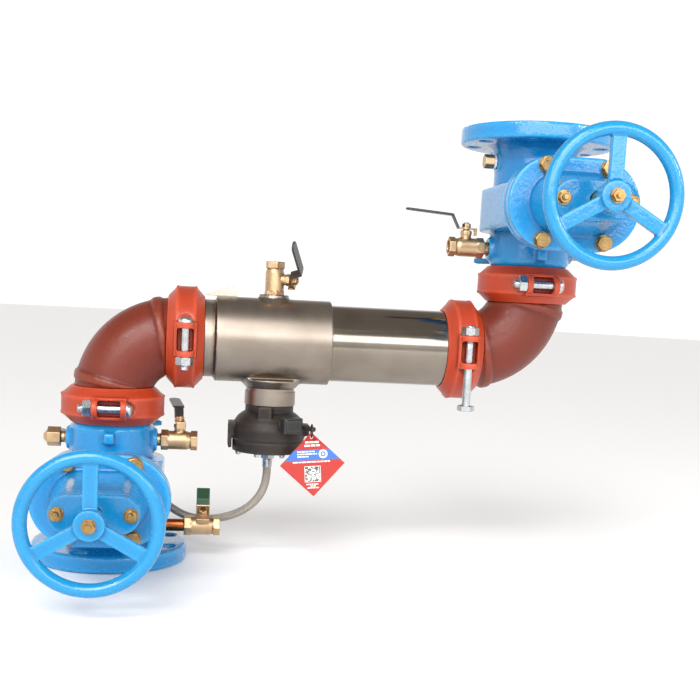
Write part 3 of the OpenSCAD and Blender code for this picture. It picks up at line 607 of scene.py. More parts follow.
# Natural polyethylene: milky, lets light through.
MILKY_PLASTIC = Polymer("natural_polyethylene", "#d9c9bb", "#e6dace", roughness=0.45, through=0.4)
# Moulded EPDM of gaskets and wedges: matt black.
EPDM_RUBBER = Polymer("moulded_rubber", "#161616", "#2a2a2a", roughness=0.75, sheen=0.2)
# PTFE thread tape: matt white.
THREAD_TAPE = Polymer("ptfe_tape", "#eceae6", "#ffffff", roughness=0.6)
WIRE_BRAID = WireBraid("wire_braid")
RED_INK = PrintedInk("red_print", "#b8342c")
BLUE_INK = PrintedInk("blue_print", "#3f72c4")
WHITE_INK = PrintedInk("white_print", "#f2eeea")
DARK_INK = PrintedInk("dark_print", "#2b2a2c")


# ---- shaping tools -------------------------------------------------------------------------


def cad_copy(name: str, node: str) -> bpy.types.Object:
    """A merged copy of a CAD node as a new object; the node itself stays as it is.

    Args:
        name: the new object's name.
        node: the CAD node to copy.

    Returns:
        The copy, at the origin like every node.
    """
    shape = bmesh.new()
    shape.from_mesh(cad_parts[node].data)
    bmesh.ops.remove_doubles(shape, verts=shape.verts, dist=1e-6)
    mesh = bpy.data.meshes.new(name)
    shape.to_mesh(mesh)
    shape.free()
    return make_object(name, mesh)


def skin(thing: bpy.types.Object, voxel_mm: float, rounds: int) -> None:
    """Turn a mesh into a casting: one skin with its corners rounded like a sand mould's.

    Args:
        thing: the object, which may be several overlapping pieces; it ends with "crest" and
            "crevice" on its vertices.
        voxel_mm: size of the grid that the skin is laid on.
        rounds: smoothing passes; each rounds corners by about a third of the grid.
    """
    remesh = thing.modifiers.new("skin", "REMESH")
    remesh.mode = "VOXEL"
    remesh.voxel_size = voxel_mm * MM
    smooth = thing.modifiers.new("round", "SMOOTH")
    smooth.factor, smooth.iterations = 0.5, rounds
    baked(thing)
    thing.data.polygons.foreach_set("use_smooth", [True] * len(thing.data.polygons))
    wear_attributes(thing.data, 0.05 * voxel_mm * MM)


def cast_copy(name: str, voxel_mm: float, rounds: int, node: str) -> bpy.types.Object:
    """Copy a CAD node as a casting; the grid and the rounds are those of skin.

    Args:
        name: the new object's name.
        voxel_mm: size of the grid that the skin is laid on.
        rounds: smoothing passes.
        node: the CAD node to copy.

    Returns:
        The casting.
    """
    thing = cad_copy(name, node)
    skin(thing, voxel_mm, rounds)
    return thing


def install(
    thing: bpy.types.Object, finish: Finish, node: str = "", body: str = "assembly"
) -> None:
    """Give a piece its finish and its body, and let it stand for a CAD node.

    Args:
        thing: the piece.
        finish: its finish.
        node: the node that it stands for, if any.
        body: the body that it rides on.
    """
    finish.put_on(thing)
    if node:
        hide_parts(node)
    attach(thing, body)
    LOG.info("%s: %d faces", thing.name, len(thing.data.polygons))


def soften(thing: bpy.types.Object, where: Callable[[np.ndarray], np.ndarray], rounds: int) -> None:
    """Round one region of a casting more than the rest.

    Args:
        thing: an evenly divided object.
        where: gives a truth value for each of N by 3 places in millimetres.
        rounds: smoothing passes.
    """
    group = thing.vertex_groups.new(name="soft")
    group.add([int(k) for k in np.flatnonzero(where(coordinates(thing.data) / MM))], 1.0, "REPLACE")
    smooth = thing.modifiers.new("soften", "SMOOTH")
    smooth.factor, smooth.iterations, smooth.vertex_group = 0.5, rounds, group.name
    baked(thing)


def snap_round(
    mesh: bpy.types.Mesh, centre: Point, axis: int, radii: tuple[float, ...], give: float = 0.6
) -> None:
    """Move vertices that lie close to a true cylinder exactly onto it.

    Args:
        mesh: the mesh to correct.
        centre: a point on the cylinder's axis, in millimetres.
        axis: 0, 1 or 2, the axis' direction.
        radii: the cylinders' radii in millimetres.
        give: how far off a vertex may be, in millimetres.
    """
    co = coordinates(mesh)
    others = [k for k in range(3) if k != axis]
    off = co[:, others] - np.array([centre[k] for k in others]) * MM
    r = np.linalg.norm(off, axis=1)
    for radius in radii:
        near = np.abs(r - radius * MM) < give * MM
        for column, k in enumerate(others):
            co[near, k] = centre[k] * MM + off[near, column] * radius * MM / r[near]
    mesh.vertices.foreach_set("co", co.ravel())
    mesh.update()


def turn_profile(
    shape: bmesh.types.BMesh, profile: list[tuple[float, float]], steps: int = 48, closed: bool = False
) -> None:
    """Add a solid of revolution about Z to a bmesh.

    Args:
        shape: the bmesh.
        profile: the section's corners as (radius, height) in millimetres.
        steps: divisions round the axis.
        closed: whether the last corner joins the first; if not, both lie on the axis.
    """
    turns = [(math.cos(2 * math.pi * k / steps), math.sin(2 * math.pi * k / steps)) for k in range(steps)]
    rings = []
    for r, z in profile:
        if r < 1e-6:
            rings.append([shape.verts.new((0, 0, z * MM))] * steps)
        else:
            rings.append([shape.verts.new((r * MM * c, r * MM * s, z * MM)) for c, s in turns])
    for low, high in zip(rings, rings[1:] + rings[:1] if closed else rings[1:]):
        for k in range(steps):
            after = (k + 1) % steps
            unique = list(dict.fromkeys([low[k], low[after], high[after], high[k]]))
            if len(unique) > 2:
                shape.faces.new(unique)


def lathe(
    name: str, profile: list[tuple[float, float]], place: Matrix, steps: int = 128, sharp: float = 35.0
) -> bpy.types.Object:
    """Turn a closed profile of (radius, height) pairs in millimetres round its own Z axis.

    Args:
        name: the new object's name.
        profile: the section's corners in order; the last joins the first.
        place: where the lathe's frame goes in the row frame.
        steps: divisions round the axis.
        sharp: the angle in degrees past which an edge is drawn sharp.

    Returns:
        The object.
    """
    shape = bmesh.new()
    turn_profile(shape, profile, steps, closed=True)
    bmesh.ops.recalc_face_normals(shape, faces=shape.faces)
    shape.transform(place)
    return from_bmesh(name, shape, sharp)


def join(name: str, *things: bpy.types.Object) -> bpy.types.Object:
    """Join objects into the first, keeping their materials, and give it a name.

    Args:
        name: the joined object's name.
        things: the objects; all but the first are used up.

    Returns:
        The first object.
    """
    with bpy.context.temp_override(
        active_object=things[0], object=things[0], selected_editable_objects=list(things)
    ):
        bpy.ops.object.join()
    things[0].name = name
    things[0].data.name = name
    return things[0]


def smooth_route(points: list[Point], count: int) -> list[Vector]:
    """Points evenly spaced on a Catmull-Rom curve through the given ones, in metres.

    Args:
        points: the route's points in millimetres.
        count: how many points to give back.

    Returns:
        The points, evenly spaced.
    """
    p = np.array(points, dtype=float) * MM
    padded = np.vstack([2 * p[0] - p[1], p, 2 * p[-1] - p[-2]])
    fine = []
    for k in range(1, len(padded) - 2):
        a, b, c, d = padded[k - 1 : k + 3]
        for t in np.linspace(0, 1, 10, endpoint=False):
            fine.append(
                0.5
                * (
                    2 * b
                    + (c - a) * t
                    + (2 * a - 5 * b + 4 * c - d) * t * t
                    + (3 * b - a - 3 * c + d) * t**3
                )
            )
    fine.append(padded[-2])
    line = np.array(fine)
    far = np.concatenate([[0], np.cumsum(np.linalg.norm(np.diff(line, axis=0), axis=1))])
    want = np.linspace(0, far[-1], count)
    even = np.stack([np.interp(want, far, line[:, k]) for k in range(3)], axis=1)
    return [Vector(v) for v in even]


# ---- geometry node trees -------------------------------------------------------------------


class NodeTool:
    """A Geometry Nodes tree with named inputs, run on a mesh and turned into plain geometry."""

    def __init__(self, name: str, inputs: dict[str, tuple[str, object]]) -> None:
        """Start a tree.

        Args:
            name: the tree's name.
            inputs: input name to its socket type and default value.
        """
        self.tree = bpy.data.node_groups.new(name, "GeometryNodeTree")
        face = self.tree.interface
        face.new_socket("Geometry", in_out="INPUT", socket_type="NodeSocketGeometry")
        for label, (kind, value) in inputs.items():
            socket = face.new_socket(label, in_out="INPUT", socket_type=kind)
            if value is not None:
                socket.default_value = value
        face.new_socket("Geometry", in_out="OUTPUT", socket_type="NodeSocketGeometry")
        self.given = self.tree.nodes.new("NodeGroupInput").outputs

    def add(self, kind: str, inputs: dict | None = None, **settings: object) -> bpy.types.Node:
        """Add one node to the tree."""
        return add_node(self.tree, kind, inputs, **settings)

    def end(self, geometry: bpy.types.NodeSocket, material: bpy.types.NodeSocket) -> None:
        """End the tree in Realize Instances and Set Material.

        Args:
            geometry: the socket with the finished geometry.
            material: the input socket that holds the material.
        """
        real = self.add("GeometryNodeRealizeInstances", {"Geometry": geometry})
        painted = self.add(
            "GeometryNodeSetMaterial", {"Geometry": real.outputs[0], "Material": material}
        )
        self.add("NodeGroupOutput", {"Geometry": painted.outputs[0]})

    def run(self, name: str, points: list[Point], sharp: float = 35.0, **values: object) -> bpy.types.Object:
        """Run the tree on a cloud of points and return the resulting plain mesh object.

        Args:
            name: the new object's name.
            points: the points' places in millimetres.
            sharp: the angle in degrees past which an edge is drawn sharp.
            values: the tree's named inputs, with "_" for a space.

        Returns:
            The object, without its modifier.
        """
        mesh = bpy.data.meshes.new(name)
        mesh.from_pydata([[c * MM for c in p] for p in points], [], [])
        thing = make_object(name, mesh)
        modifier = thing.modifiers.new("tool", "NODES")
        modifier.node_group = self.tree
        sockets = {
            item.name: item.identifier
            for item in self.tree.interface.items_tree
            if item.item_type == "SOCKET" and item.in_out == "INPUT"
        }
        for label, value in values.items():
            modifier[sockets[label.replace("_", " ")]] = value
        baked(thing)
        thing.data.polygons.foreach_set("use_smooth", [True] * len(thing.data.polygons))
        thing.data.set_sharp_from_angle(angle=math.radians(sharp))
        return thing


def scatter_tool() -> NodeTool:
    """A tool that puts one piece on every point, turned to a common direction.

    Each copy is also turned about its own axis by a seeded random angle, as bolts are when
    they have been pulled up tight.

    Returns:
        The tool.
    """
    tool = NodeTool(
        "set_of_fasteners",
        {
            "Piece": ("NodeSocketObject", None),
            "Direction": ("NodeSocketVector", (0.0, 0.0, 0.0)),
            "Spin": ("NodeSocketFloat", 0.0),
            "Seed": ("NodeSocketInt", 1),
            "Material": ("NodeSocketMaterial", None),
        },
    )
    piece = tool.add("GeometryNodeObjectInfo", {"Object": tool.given["Piece"]})
    angle = tool.add(
        "FunctionNodeRandomValue", {3: tool.given["Spin"], "Seed": tool.given["Seed"]}, data_type="FLOAT"
    )
    own = tool.add("ShaderNodeCombineXYZ", {"Z": angle.outputs[1]})
    turned = tool.add(
        "FunctionNodeRotateEuler",
        {"Rotation": tool.given["Direction"], "Rotate By": own.outputs[0]},
        rotation_type="EULER",
        space="LOCAL",
    )
    placed = tool.add(
        "GeometryNodeInstanceOnPoints",
        {
            "Points": tool.given["Geometry"],
            "Instance": piece.outputs["Geometry"],
            "Rotation": turned.outputs[0],
        },
    )
    tool.end(placed.outputs[0], tool.given["Material"])
    return tool


def ring_tool() -> NodeTool:
    """A tool that sets small blocks at even spacing on a circle about Z round each point.

    Returns:
        The tool.
    """
    tool = NodeTool(
        "ring_of_teeth",
        {
            "Count": ("NodeSocketInt", 60),
            "Radius": ("NodeSocketFloat", 0.075),
            "Size": ("NodeSocketVector", (0.003, 0.003, 0.002)),
            "Reach": ("NodeSocketFloat", 0.9),
            "Turn": ("NodeSocketVector", (0.0, 0.0, 0.0)),
            "Material": ("NodeSocketMaterial", None),
        },
    )
    circle = tool.add(
        "GeometryNodeMeshCircle", {"Vertices": tool.given["Count"], "Radius": tool.given["Radius"]}
    )
    place = tool.add("GeometryNodeInputPosition")
    apart = tool.add("ShaderNodeSeparateXYZ", {"Vector": place.outputs[0]})
    away = tool.add("ShaderNodeMath", {0: apart.outputs["X"]}, operation="ABSOLUTE")
    least = tool.add(
        "ShaderNodeMath", {0: tool.given["Radius"], 1: tool.given["Reach"]}, operation="MULTIPLY"
    )
    kept = tool.add(
        "FunctionNodeCompare", {0: away.outputs[0], 1: least.outputs[0]}, operation="GREATER_THAN"
    )
    outward = tool.add(
        "FunctionNodeAlignEulerToVector", {"Vector": place.outputs[0]}, axis="X", pivot_axis="Z"
    )
    tooth = tool.add("GeometryNodeMeshIcoSphere", {"Radius": 1.0, "Subdivisions": 2})
    shaped = tool.add(
        "GeometryNodeTransform", {"Geometry": tooth.outputs[0], "Scale": tool.given["Size"]}
    )
    teeth = tool.add(
        "GeometryNodeInstanceOnPoints",
        {
            "Points": circle.outputs[0],
            "Selection": kept.outputs[0],
            "Instance": shaped.outputs[0],
            "Rotation": outward.outputs[0],
        },
    )
    real = tool.add("GeometryNodeRealizeInstances", {"Geometry": teeth.outputs[0]})
    rings = tool.add(
        "GeometryNodeInstanceOnPoints",
        {"Points": tool.given["Geometry"], "Instance": real.outputs[0], "Rotation": tool.given["Turn"]},
    )
    tool.end(rings.outputs[0], tool.given["Material"])
    return tool


def wheel_tool() -> NodeTool:
    """A tool that builds a spoked handwheel about Z round each point: rim, hub and spokes.

    Returns:
        The tool.
    """
    tool = NodeTool(
        "spoked_handwheel",
        {
            "Rim radius": ("NodeSocketFloat", 0.0815),
            "Rim thickness": ("NodeSocketFloat", 0.009),
            "Hub radius": ("NodeSocketFloat", 0.019),
            "Hub height": ("NodeSocketFloat", 0.022),
            "Spokes": ("NodeSocketInt", 3),
            "Spoke section": ("NodeSocketVector", (0.0815, 0.018, 0.011)),
            "Turn": ("NodeSocketVector", (0.0, 0.0, 0.0)),
            "Material": ("NodeSocketMaterial", None),
        },
    )
    path = tool.add(
        "GeometryNodeCurvePrimitiveCircle",
        {"Resolution": 160, "Radius": tool.given["Rim radius"]},
        mode="RADIUS",
    )
    section = tool.add(
        "GeometryNodeCurvePrimitiveCircle",
        {"Resolution": 32, "Radius": tool.given["Rim thickness"]},
        mode="RADIUS",
    )
    rim = tool.add("GeometryNodeCurveToMesh", {0: path.outputs[0], 1: section.outputs[0]})
    hub = tool.add(
        "GeometryNodeMeshCylinder",
        {"Vertices": 96, "Radius": tool.given["Hub radius"], "Depth": tool.given["Hub height"]},
    )
    spoke = tool.add("GeometryNodeMeshCube", {"Size": tool.given["Spoke section"]})
    half = tool.add(
        "ShaderNodeVectorMath", {0: tool.given["Spoke section"], 1: (0.5, 0.0, 0.0)}, operation="MULTIPLY"
    )
    out = tool.add("GeometryNodeTransform", {"Geometry": spoke.outputs[0], "Translation": half.outputs[0]})
    line = tool.add("GeometryNodeMeshLine", {"Count": tool.given["Spokes"], 3: (0.0, 0.0, 0.0)})
    index = tool.add("GeometryNodeInputIndex")
    step = tool.add("ShaderNodeMath", {0: 2 * math.pi, 1: tool.given["Spokes"]}, operation="DIVIDE")
    angle = tool.add("ShaderNodeMath", {0: index.outputs[0], 1: step.outputs[0]}, operation="MULTIPLY")
    spin = tool.add("ShaderNodeCombineXYZ", {"Z": angle.outputs[0]})
    spokes = tool.add(
        "GeometryNodeInstanceOnPoints",
        {"Points": line.outputs[0], "Instance": out.outputs[0], "Rotation": spin.outputs[0]},
    )
    all_parts = tool.add("GeometryNodeJoinGeometry")
    for part in (rim.outputs[0], hub.outputs[0], spokes.outputs[0]):
        tool.tree.links.new(part, all_parts.inputs[0])
    wheel = tool.add("GeometryNodeRealizeInstances", {"Geometry": all_parts.outputs[0]})
    placed = tool.add(
        "GeometryNodeInstanceOnPoints",
        {"Points": tool.given["Geometry"], "Instance": wheel.outputs[0], "Rotation": tool.given["Turn"]},
    )
    tool.end(placed.outputs[0], tool.given["Material"])
    return tool


# ---- sub-assemblies ------------------------------------------------------------------------


@dataclass
class Studio:
    """Floor, light and camera; angles in degrees, the eye in millimetres."""

    eye: Point = (118.33, -1645.19, 414.01)
    yaw: float = -8.26
    pitch: float = -7.26
    roll: float = 3.01
    lens: float = 56.12
    shift_y: float = 0.1143
    floor: str = "#ffffff"

    def build(self) -> None:
        """Make the camera first, then the floor, the sky, a wide soft key and three boxes."""
        self.camera()
        self.ground()
        self.sky()
        self.key()
        self.soft_box("side_light", (2.2, -1.2, 1.2), (0.5, 0, 0.35), (0.45, 0.45), 9.0)
        self.soft_box("front_light", (0.2, -2.5, 1.22), (0.25, 0, 0.35), (4.0, 0.9), 46.0)
        self.soft_box("glint_light", (-1.3, -1.7, 1.9), (0.3, 0, 0.35), (0.35, 0.35), 9.0)

    def camera(self) -> None:
        """Stand the camera at the calibrated place and turn it."""
        data = bpy.data.cameras.new("camera")
        data.lens, data.sensor_width, data.shift_y = self.lens, 36.0, self.shift_y
        data.clip_start, data.clip_end = 0.05, 100.0
        view = bpy.data.objects.new("camera", data)
        bpy.context.scene.collection.objects.link(view)
        yaw, pitch, roll = (math.radians(v) for v in (self.yaw, self.pitch, self.roll))
        ahead = Vector(
            (-math.sin(yaw) * math.cos(pitch), math.cos(yaw) * math.cos(pitch), math.sin(pitch))
        )
        right = Vector((math.cos(yaw), math.sin(yaw), 0.0))
        up = right.cross(ahead)
        right, up = (
            math.cos(roll) * right + math.sin(roll) * up,
            -math.sin(roll) * right + math.cos(roll) * up,
        )
        turn = Matrix((right, up, -ahead)).transposed().to_4x4()
        view.matrix_world = Matrix.Translation(Vector(self.eye) * MM) @ turn
        bpy.context.scene.camera = view

    def ground(self) -> None:
        """Lay a wide pale floor just under the inlet flange."""
        shape = bmesh.new()
        bmesh.ops.create_circle(shape, cap_ends=True, segments=96, radius=14.0)
        shape.transform(Matrix.Translation((0.3, 0, -0.0015)))
        ground = from_bmesh("floor", shape)
        material = bpy.data.materials.new("pale_floor")
        material.use_nodes = True
        shader = material.node_tree.nodes["Principled BSDF"]
        shader.inputs["Base Color"].default_value = linear(self.floor)
        shader.inputs["Roughness"].default_value = 0.9
        ground.data.materials.append(material)

    def sky(self) -> None:
        """Light the scene from all round, bright at the horizon and dimmer overhead."""
        world = bpy.data.worlds.new("studio")
        bpy.context.scene.world = world
        world.use_nodes = True
        tree = world.node_tree
        tree.nodes.clear()
        place = add_node(tree, "ShaderNodeTexCoord").outputs["Generated"]
        height = add_node(tree, "ShaderNodeSeparateXYZ", {"Vector": place}).outputs["Z"]
        ramp = add_node(tree, "ShaderNodeValToRGB", {"Fac": height})
        ramp.color_ramp.elements[0].color = (1.0, 1.0, 1.0, 1.0)
        ramp.color_ramp.elements[0].position = 0.33
        ramp.color_ramp.elements[1].color = (0.3, 0.28, 0.26, 1.0)
        ramp.color_ramp.elements[1].position = 0.6
        light = add_node(tree, "ShaderNodeBackground", {"Color": ramp.outputs[0], "Strength": 1.08})
        add_node(tree, "ShaderNodeOutputWorld", {"Surface": light.outputs[0]})
        bpy.context.scene.view_settings.view_transform = "Standard"

    def key(self) -> None:
        """Light everything evenly from above the camera's left shoulder, with soft shadows."""
        data = bpy.data.lights.new("key_light", "SUN")
        data.energy, data.angle = 1.7, math.radians(32)
        lamp = bpy.data.objects.new("key_light", data)
        bpy.context.scene.collection.objects.link(lamp)
        lamp.rotation_euler = Vector((0.32, 1.0, -0.95)).to_track_quat("-Z", "Y").to_euler()

    def soft_box(
        self, name: str, place: Point, aim: Point, size: tuple[float, float], watts: float
    ) -> None:
        """Hang one soft box of the given width and height, in metres, pointing at aim.

        Args:
            name: the light's name.
            place: where it hangs.
            aim: the point it faces.
            size: its width and height.
            watts: its power.
        """
        data = bpy.data.lights.new(name, "AREA")
        data.shape, data.energy = "RECTANGLE", watts
        data.size, data.size_y = size
        lamp = bpy.data.objects.new(name, data)
        bpy.context.scene.collection.objects.link(lamp)
        lamp.location = place
        lamp.rotation_euler = (Vector(aim) - Vector(place)).to_track_quat("-Z", "Y").to_euler()


@dataclass
class BraidedHose:
    """The sensing hose, a braided tube from the relief cover to the side fitting."""

    radius: float = 6.25
    route: list[Point] = field(
        default_factory=lambda: [
            (232, 0, 142),
            (232, 0, 130),
            (229.5, 1, 113),
            (222, 4, 95),
            (208, 9, 78),
            (190, 17, 65),
            (170, 27, 56),
            (150, 38, 50.5),
            (128, 50, 48.5),
            (108, 61, 51.5),
            (88, 72, 60.5),
            (67, 82, 75),
            (43, 90.5, 92.5),
            (18, 97, 110.5),
            (-8, 101, 129),
            (-31.4, 102, 145.3),
            (-45, 99.9, 153.8),
            (-57.8, 93.7, 161.7),
            (-68.7, 83.8, 168.4),
            (-77, 71, 173.6),
            (-82.3, 56, 176.9),
            (-84.1, 43, 178),
            (-84.1, 40, 178),
        ]
    )

    def build(self) -> None:
        line = smooth_route(self.route, 150)
        shape = bmesh.new()
        layer = shape.loops.layers.uv.new("along")
        sides = 24
        rings, far = [], [0.0]
        tangent = (line[1] - line[0]).normalized()
        across = tangent.cross(Vector((0, 1, 0))).normalized()
        for k, point in enumerate(line):
            ahead = (line[min(k + 1, len(line) - 1)] - line[max(k - 1, 0)]).normalized()
            across = (across - across.dot(ahead) * ahead).normalized()
            beside = ahead.cross(across)
            ring = []
            for s in range(sides):
                t = 2 * math.pi * s / sides
                ring.append(
                    shape.verts.new(point + self.radius * MM * (math.cos(t) * across + math.sin(t) * beside))
                )
            rings.append(ring)
            if k:
                far.append(far[-1] + (point - line[k - 1]).length / MM)
        for k in range(len(line) - 1):
            for s in range(sides):
                nxt = (s + 1) % sides
                face = shape.faces.new([rings[k][s], rings[k][nxt], rings[k + 1][nxt], rings[k + 1][s]])
                for loop, (along, turn) in zip(
                    face.loops,
                    [(far[k], s), (far[k], s + 1), (far[k + 1], s + 1), (far[k + 1], s)],
                ):
                    loop[layer].uv = (along, turn / sides)
        for ring, flip in ((rings[0], False), (rings[-1], True)):
            shape.faces.new(ring if flip else ring[::-1])
        bmesh.ops.recalc_face_normals(shape, faces=shape.faces)
        hose = from_bmesh("braided_hose", shape, 60)
        install(hose, WIRE_BRAID, "hose")
        LOG.info("hose: %.0f mm long", far[-1])


class Side(Enum):
    """The two ends of the assembly; each holds a gate valve's turn and place."""

    INLET = "inlet"
    OUTLET = "outlet"

    @property
    def place(self) -> Matrix:
        """From a gate valve's own frame to the row frame."""
        if self is Side.INLET:
            return Matrix.Identity(4)
        return Matrix.Translation((LEG_SPACING * MM, 0, TOP_Z * MM)) @ Matrix.Rotation(math.pi, 4, "Y")

    def at(self, x: float, y: float, z: float) -> Point:
        """A point of the valve's own frame, in the row frame, both in millimetres."""
        v = self.place @ Vector((x, y, z))
        if self is Side.OUTLET:
            v = Matrix.Rotation(math.pi, 4, "Y") @ Vector((x, y, z)) + Vector((LEG_SPACING, 0, TOP_Z))
        return v[0], v[1], v[2]


@dataclass
class GateValve:
    """One resilient-seated gate valve: body, bonnet, bolts, stem, wheel and wedge."""

    side: Side
    chest_half: float = 76.0
    chest_high: float = 56.0
    chest_from: float = -48.0
    chest_to: float = -168.0

    def build(self, wheels: NodeTool) -> None:
        """Dress the castings, build the handwheel and finish the inner pieces.

        Args:
            wheels: the tool that builds handwheels.
        """
        name = self.side.value
        body = cast_copy(f"{name}_valve_casting", 2.2, 9, f"{name}_valve_body")
        soften(body, self.on_chest, 180)
        install(body, BLUE_EPOXY, f"{name}_valve_body")
        bonnet = cast_copy(f"{name}_bonnet_casting", 1.9, 6, f"{name}_bonnet")
        install(bonnet, BLUE_EPOXY, f"{name}_bonnet")
        self.wheel(wheels)
        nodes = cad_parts
        TURNED_BRONZE.put_on(nodes[f"{name}_stem"], nodes[f"{name}_wedge_nut"])
        EPDM_RUBBER.put_on(nodes[f"{name}_wedge"])
        YELLOW_ZINC.put_on(nodes[f"{name}_wheel_nut"])

    def on_chest(self, point: np.ndarray) -> np.ndarray:
        """Whether points, in millimetres, lie on the cast chest between barrel and bonnet flange.

        Args:
            point: N by 3 places in the row frame.

        Returns:
            N truth values.
        """
        x, y, z = point.T
        if self.side is Side.OUTLET:
            x, z = LEG_SPACING - x, TOP_Z - z
        beside = (np.abs(x) < self.chest_half) & (np.abs(z - VALVE_CENTRE) < self.chest_high)
        return beside & (y < self.chest_from) & (y > self.chest_to)

    def wheel(self, wheels: NodeTool) -> None:
        """Build the wheel with its tool, then give it a casting's rounded corners.

        Args:
            wheels: the tool that builds handwheels.
        """
        name = self.side.value
        first = -math.pi / 2
        wheel = wheels.run(
            f"{name}_handwheel_casting",
            [self.side.at(0, -WHEEL_PLANE, VALVE_CENTRE)],
            Turn=(math.pi / 2, first, 0.0),
            Material=WHEEL_EPOXY.make(),
        )
        skin(wheel, 1.2, 7)
        install(wheel, WHEEL_EPOXY, f"{name}_handwheel", f"{name}_wheel")


@dataclass
class Fastener:
    """A washer, a chamfered hexagon and a stud end, stacked along +Z from the seat."""

    af: float
    height: float
    washer_r: float = 0.0
    washer_t: float = 0.0
    stud_r: float = 0.0
    stud_out: float = 0.0
    pitch: float = 1.6

    def shape(self) -> bmesh.types.BMesh:
        """The fastener as closed shells in its own frame, in metres.

        Returns:
            The bmesh, to be freed by the caller.
        """
        shape = bmesh.new()
        if self.washer_r:
            edge = 0.3
            turn_profile(
                shape,
                [
                    (0, 0),
                    (self.washer_r, 0),
                    (self.washer_r, self.washer_t - edge),
                    (self.washer_r - edge, self.washer_t),
                    (0, self.washer_t),
                ],
            )
        add_hexagon(shape, self.af, self.washer_t, self.height)
        if self.stud_out:
            base = self.washer_t + self.height - 1
            turn_profile(shape, thread_profile(self.stud_r, base, base + 1 + self.stud_out, self.pitch))
        return shape


def thread_profile(r: float, low: float, high: float, pitch: float) -> list[tuple[float, float]]:
    """Profile of a threaded stud end with a chamfered tip; the thread is drawn as rings.

    Args:
        r: radius over the crests, in millimetres.
        low: height where the thread starts.
        high: height of the stud's tip.
        pitch: the thread's pitch.

    Returns:
        The profile, which starts and ends on the axis.
    """
    points = [(0.0, low)]
    z = low
    while z < high - pitch:
        points += [(r, z), (r - 0.55 * pitch * 0.6, z + pitch / 2)]
        z += pitch
    return points + [(r, z), (r - 0.8, high), (0.0, high)]


def add_hexagon(shape: bmesh.types.BMesh, af: float, low: float, height: float) -> None:
    """Add a hexagonal prism whose upper corners are chamfered at 30 degrees, as nuts are.

    Args:
        shape: the bmesh that gets it.
        af: size across flats, in millimetres.
        low: height of its underside.
        height: its thickness.
    """
    steps = 72
    flat = af / 2 * 0.96
    turns = [2 * math.pi * k / steps for k in range(steps)]
    far = [af / 2 / math.cos((t + math.pi / 6) % (math.pi / 3) - math.pi / 6) for t in turns]
    drop = [max(0.0, r - flat) * math.tan(math.pi / 6) for r in far]

    def ring(radii: list[float], heights: list[float]) -> list[bmesh.types.BMVert]:
        """One loop of vertices."""
        return [
            shape.verts.new((r * MM * math.cos(t), r * MM * math.sin(t), z * MM))
            for r, z, t in zip(radii, heights, turns)
        ]

    top = low + height
    loops = [
        ring([flat] * steps, [low] * steps),
        ring(far, [low + d for d in drop]),
        ring(far, [top - d for d in drop]),
        ring([flat] * steps, [top] * steps),
    ]
    for a, b in zip(loops, loops[1:]):
        for k in range(steps):
            shape.faces.new([a[k], a[(k + 1) % steps], b[(k + 1) % steps], b[k]])
    shape.faces.new(loops[0][::-1])
    shape.faces.new(loops[-1])


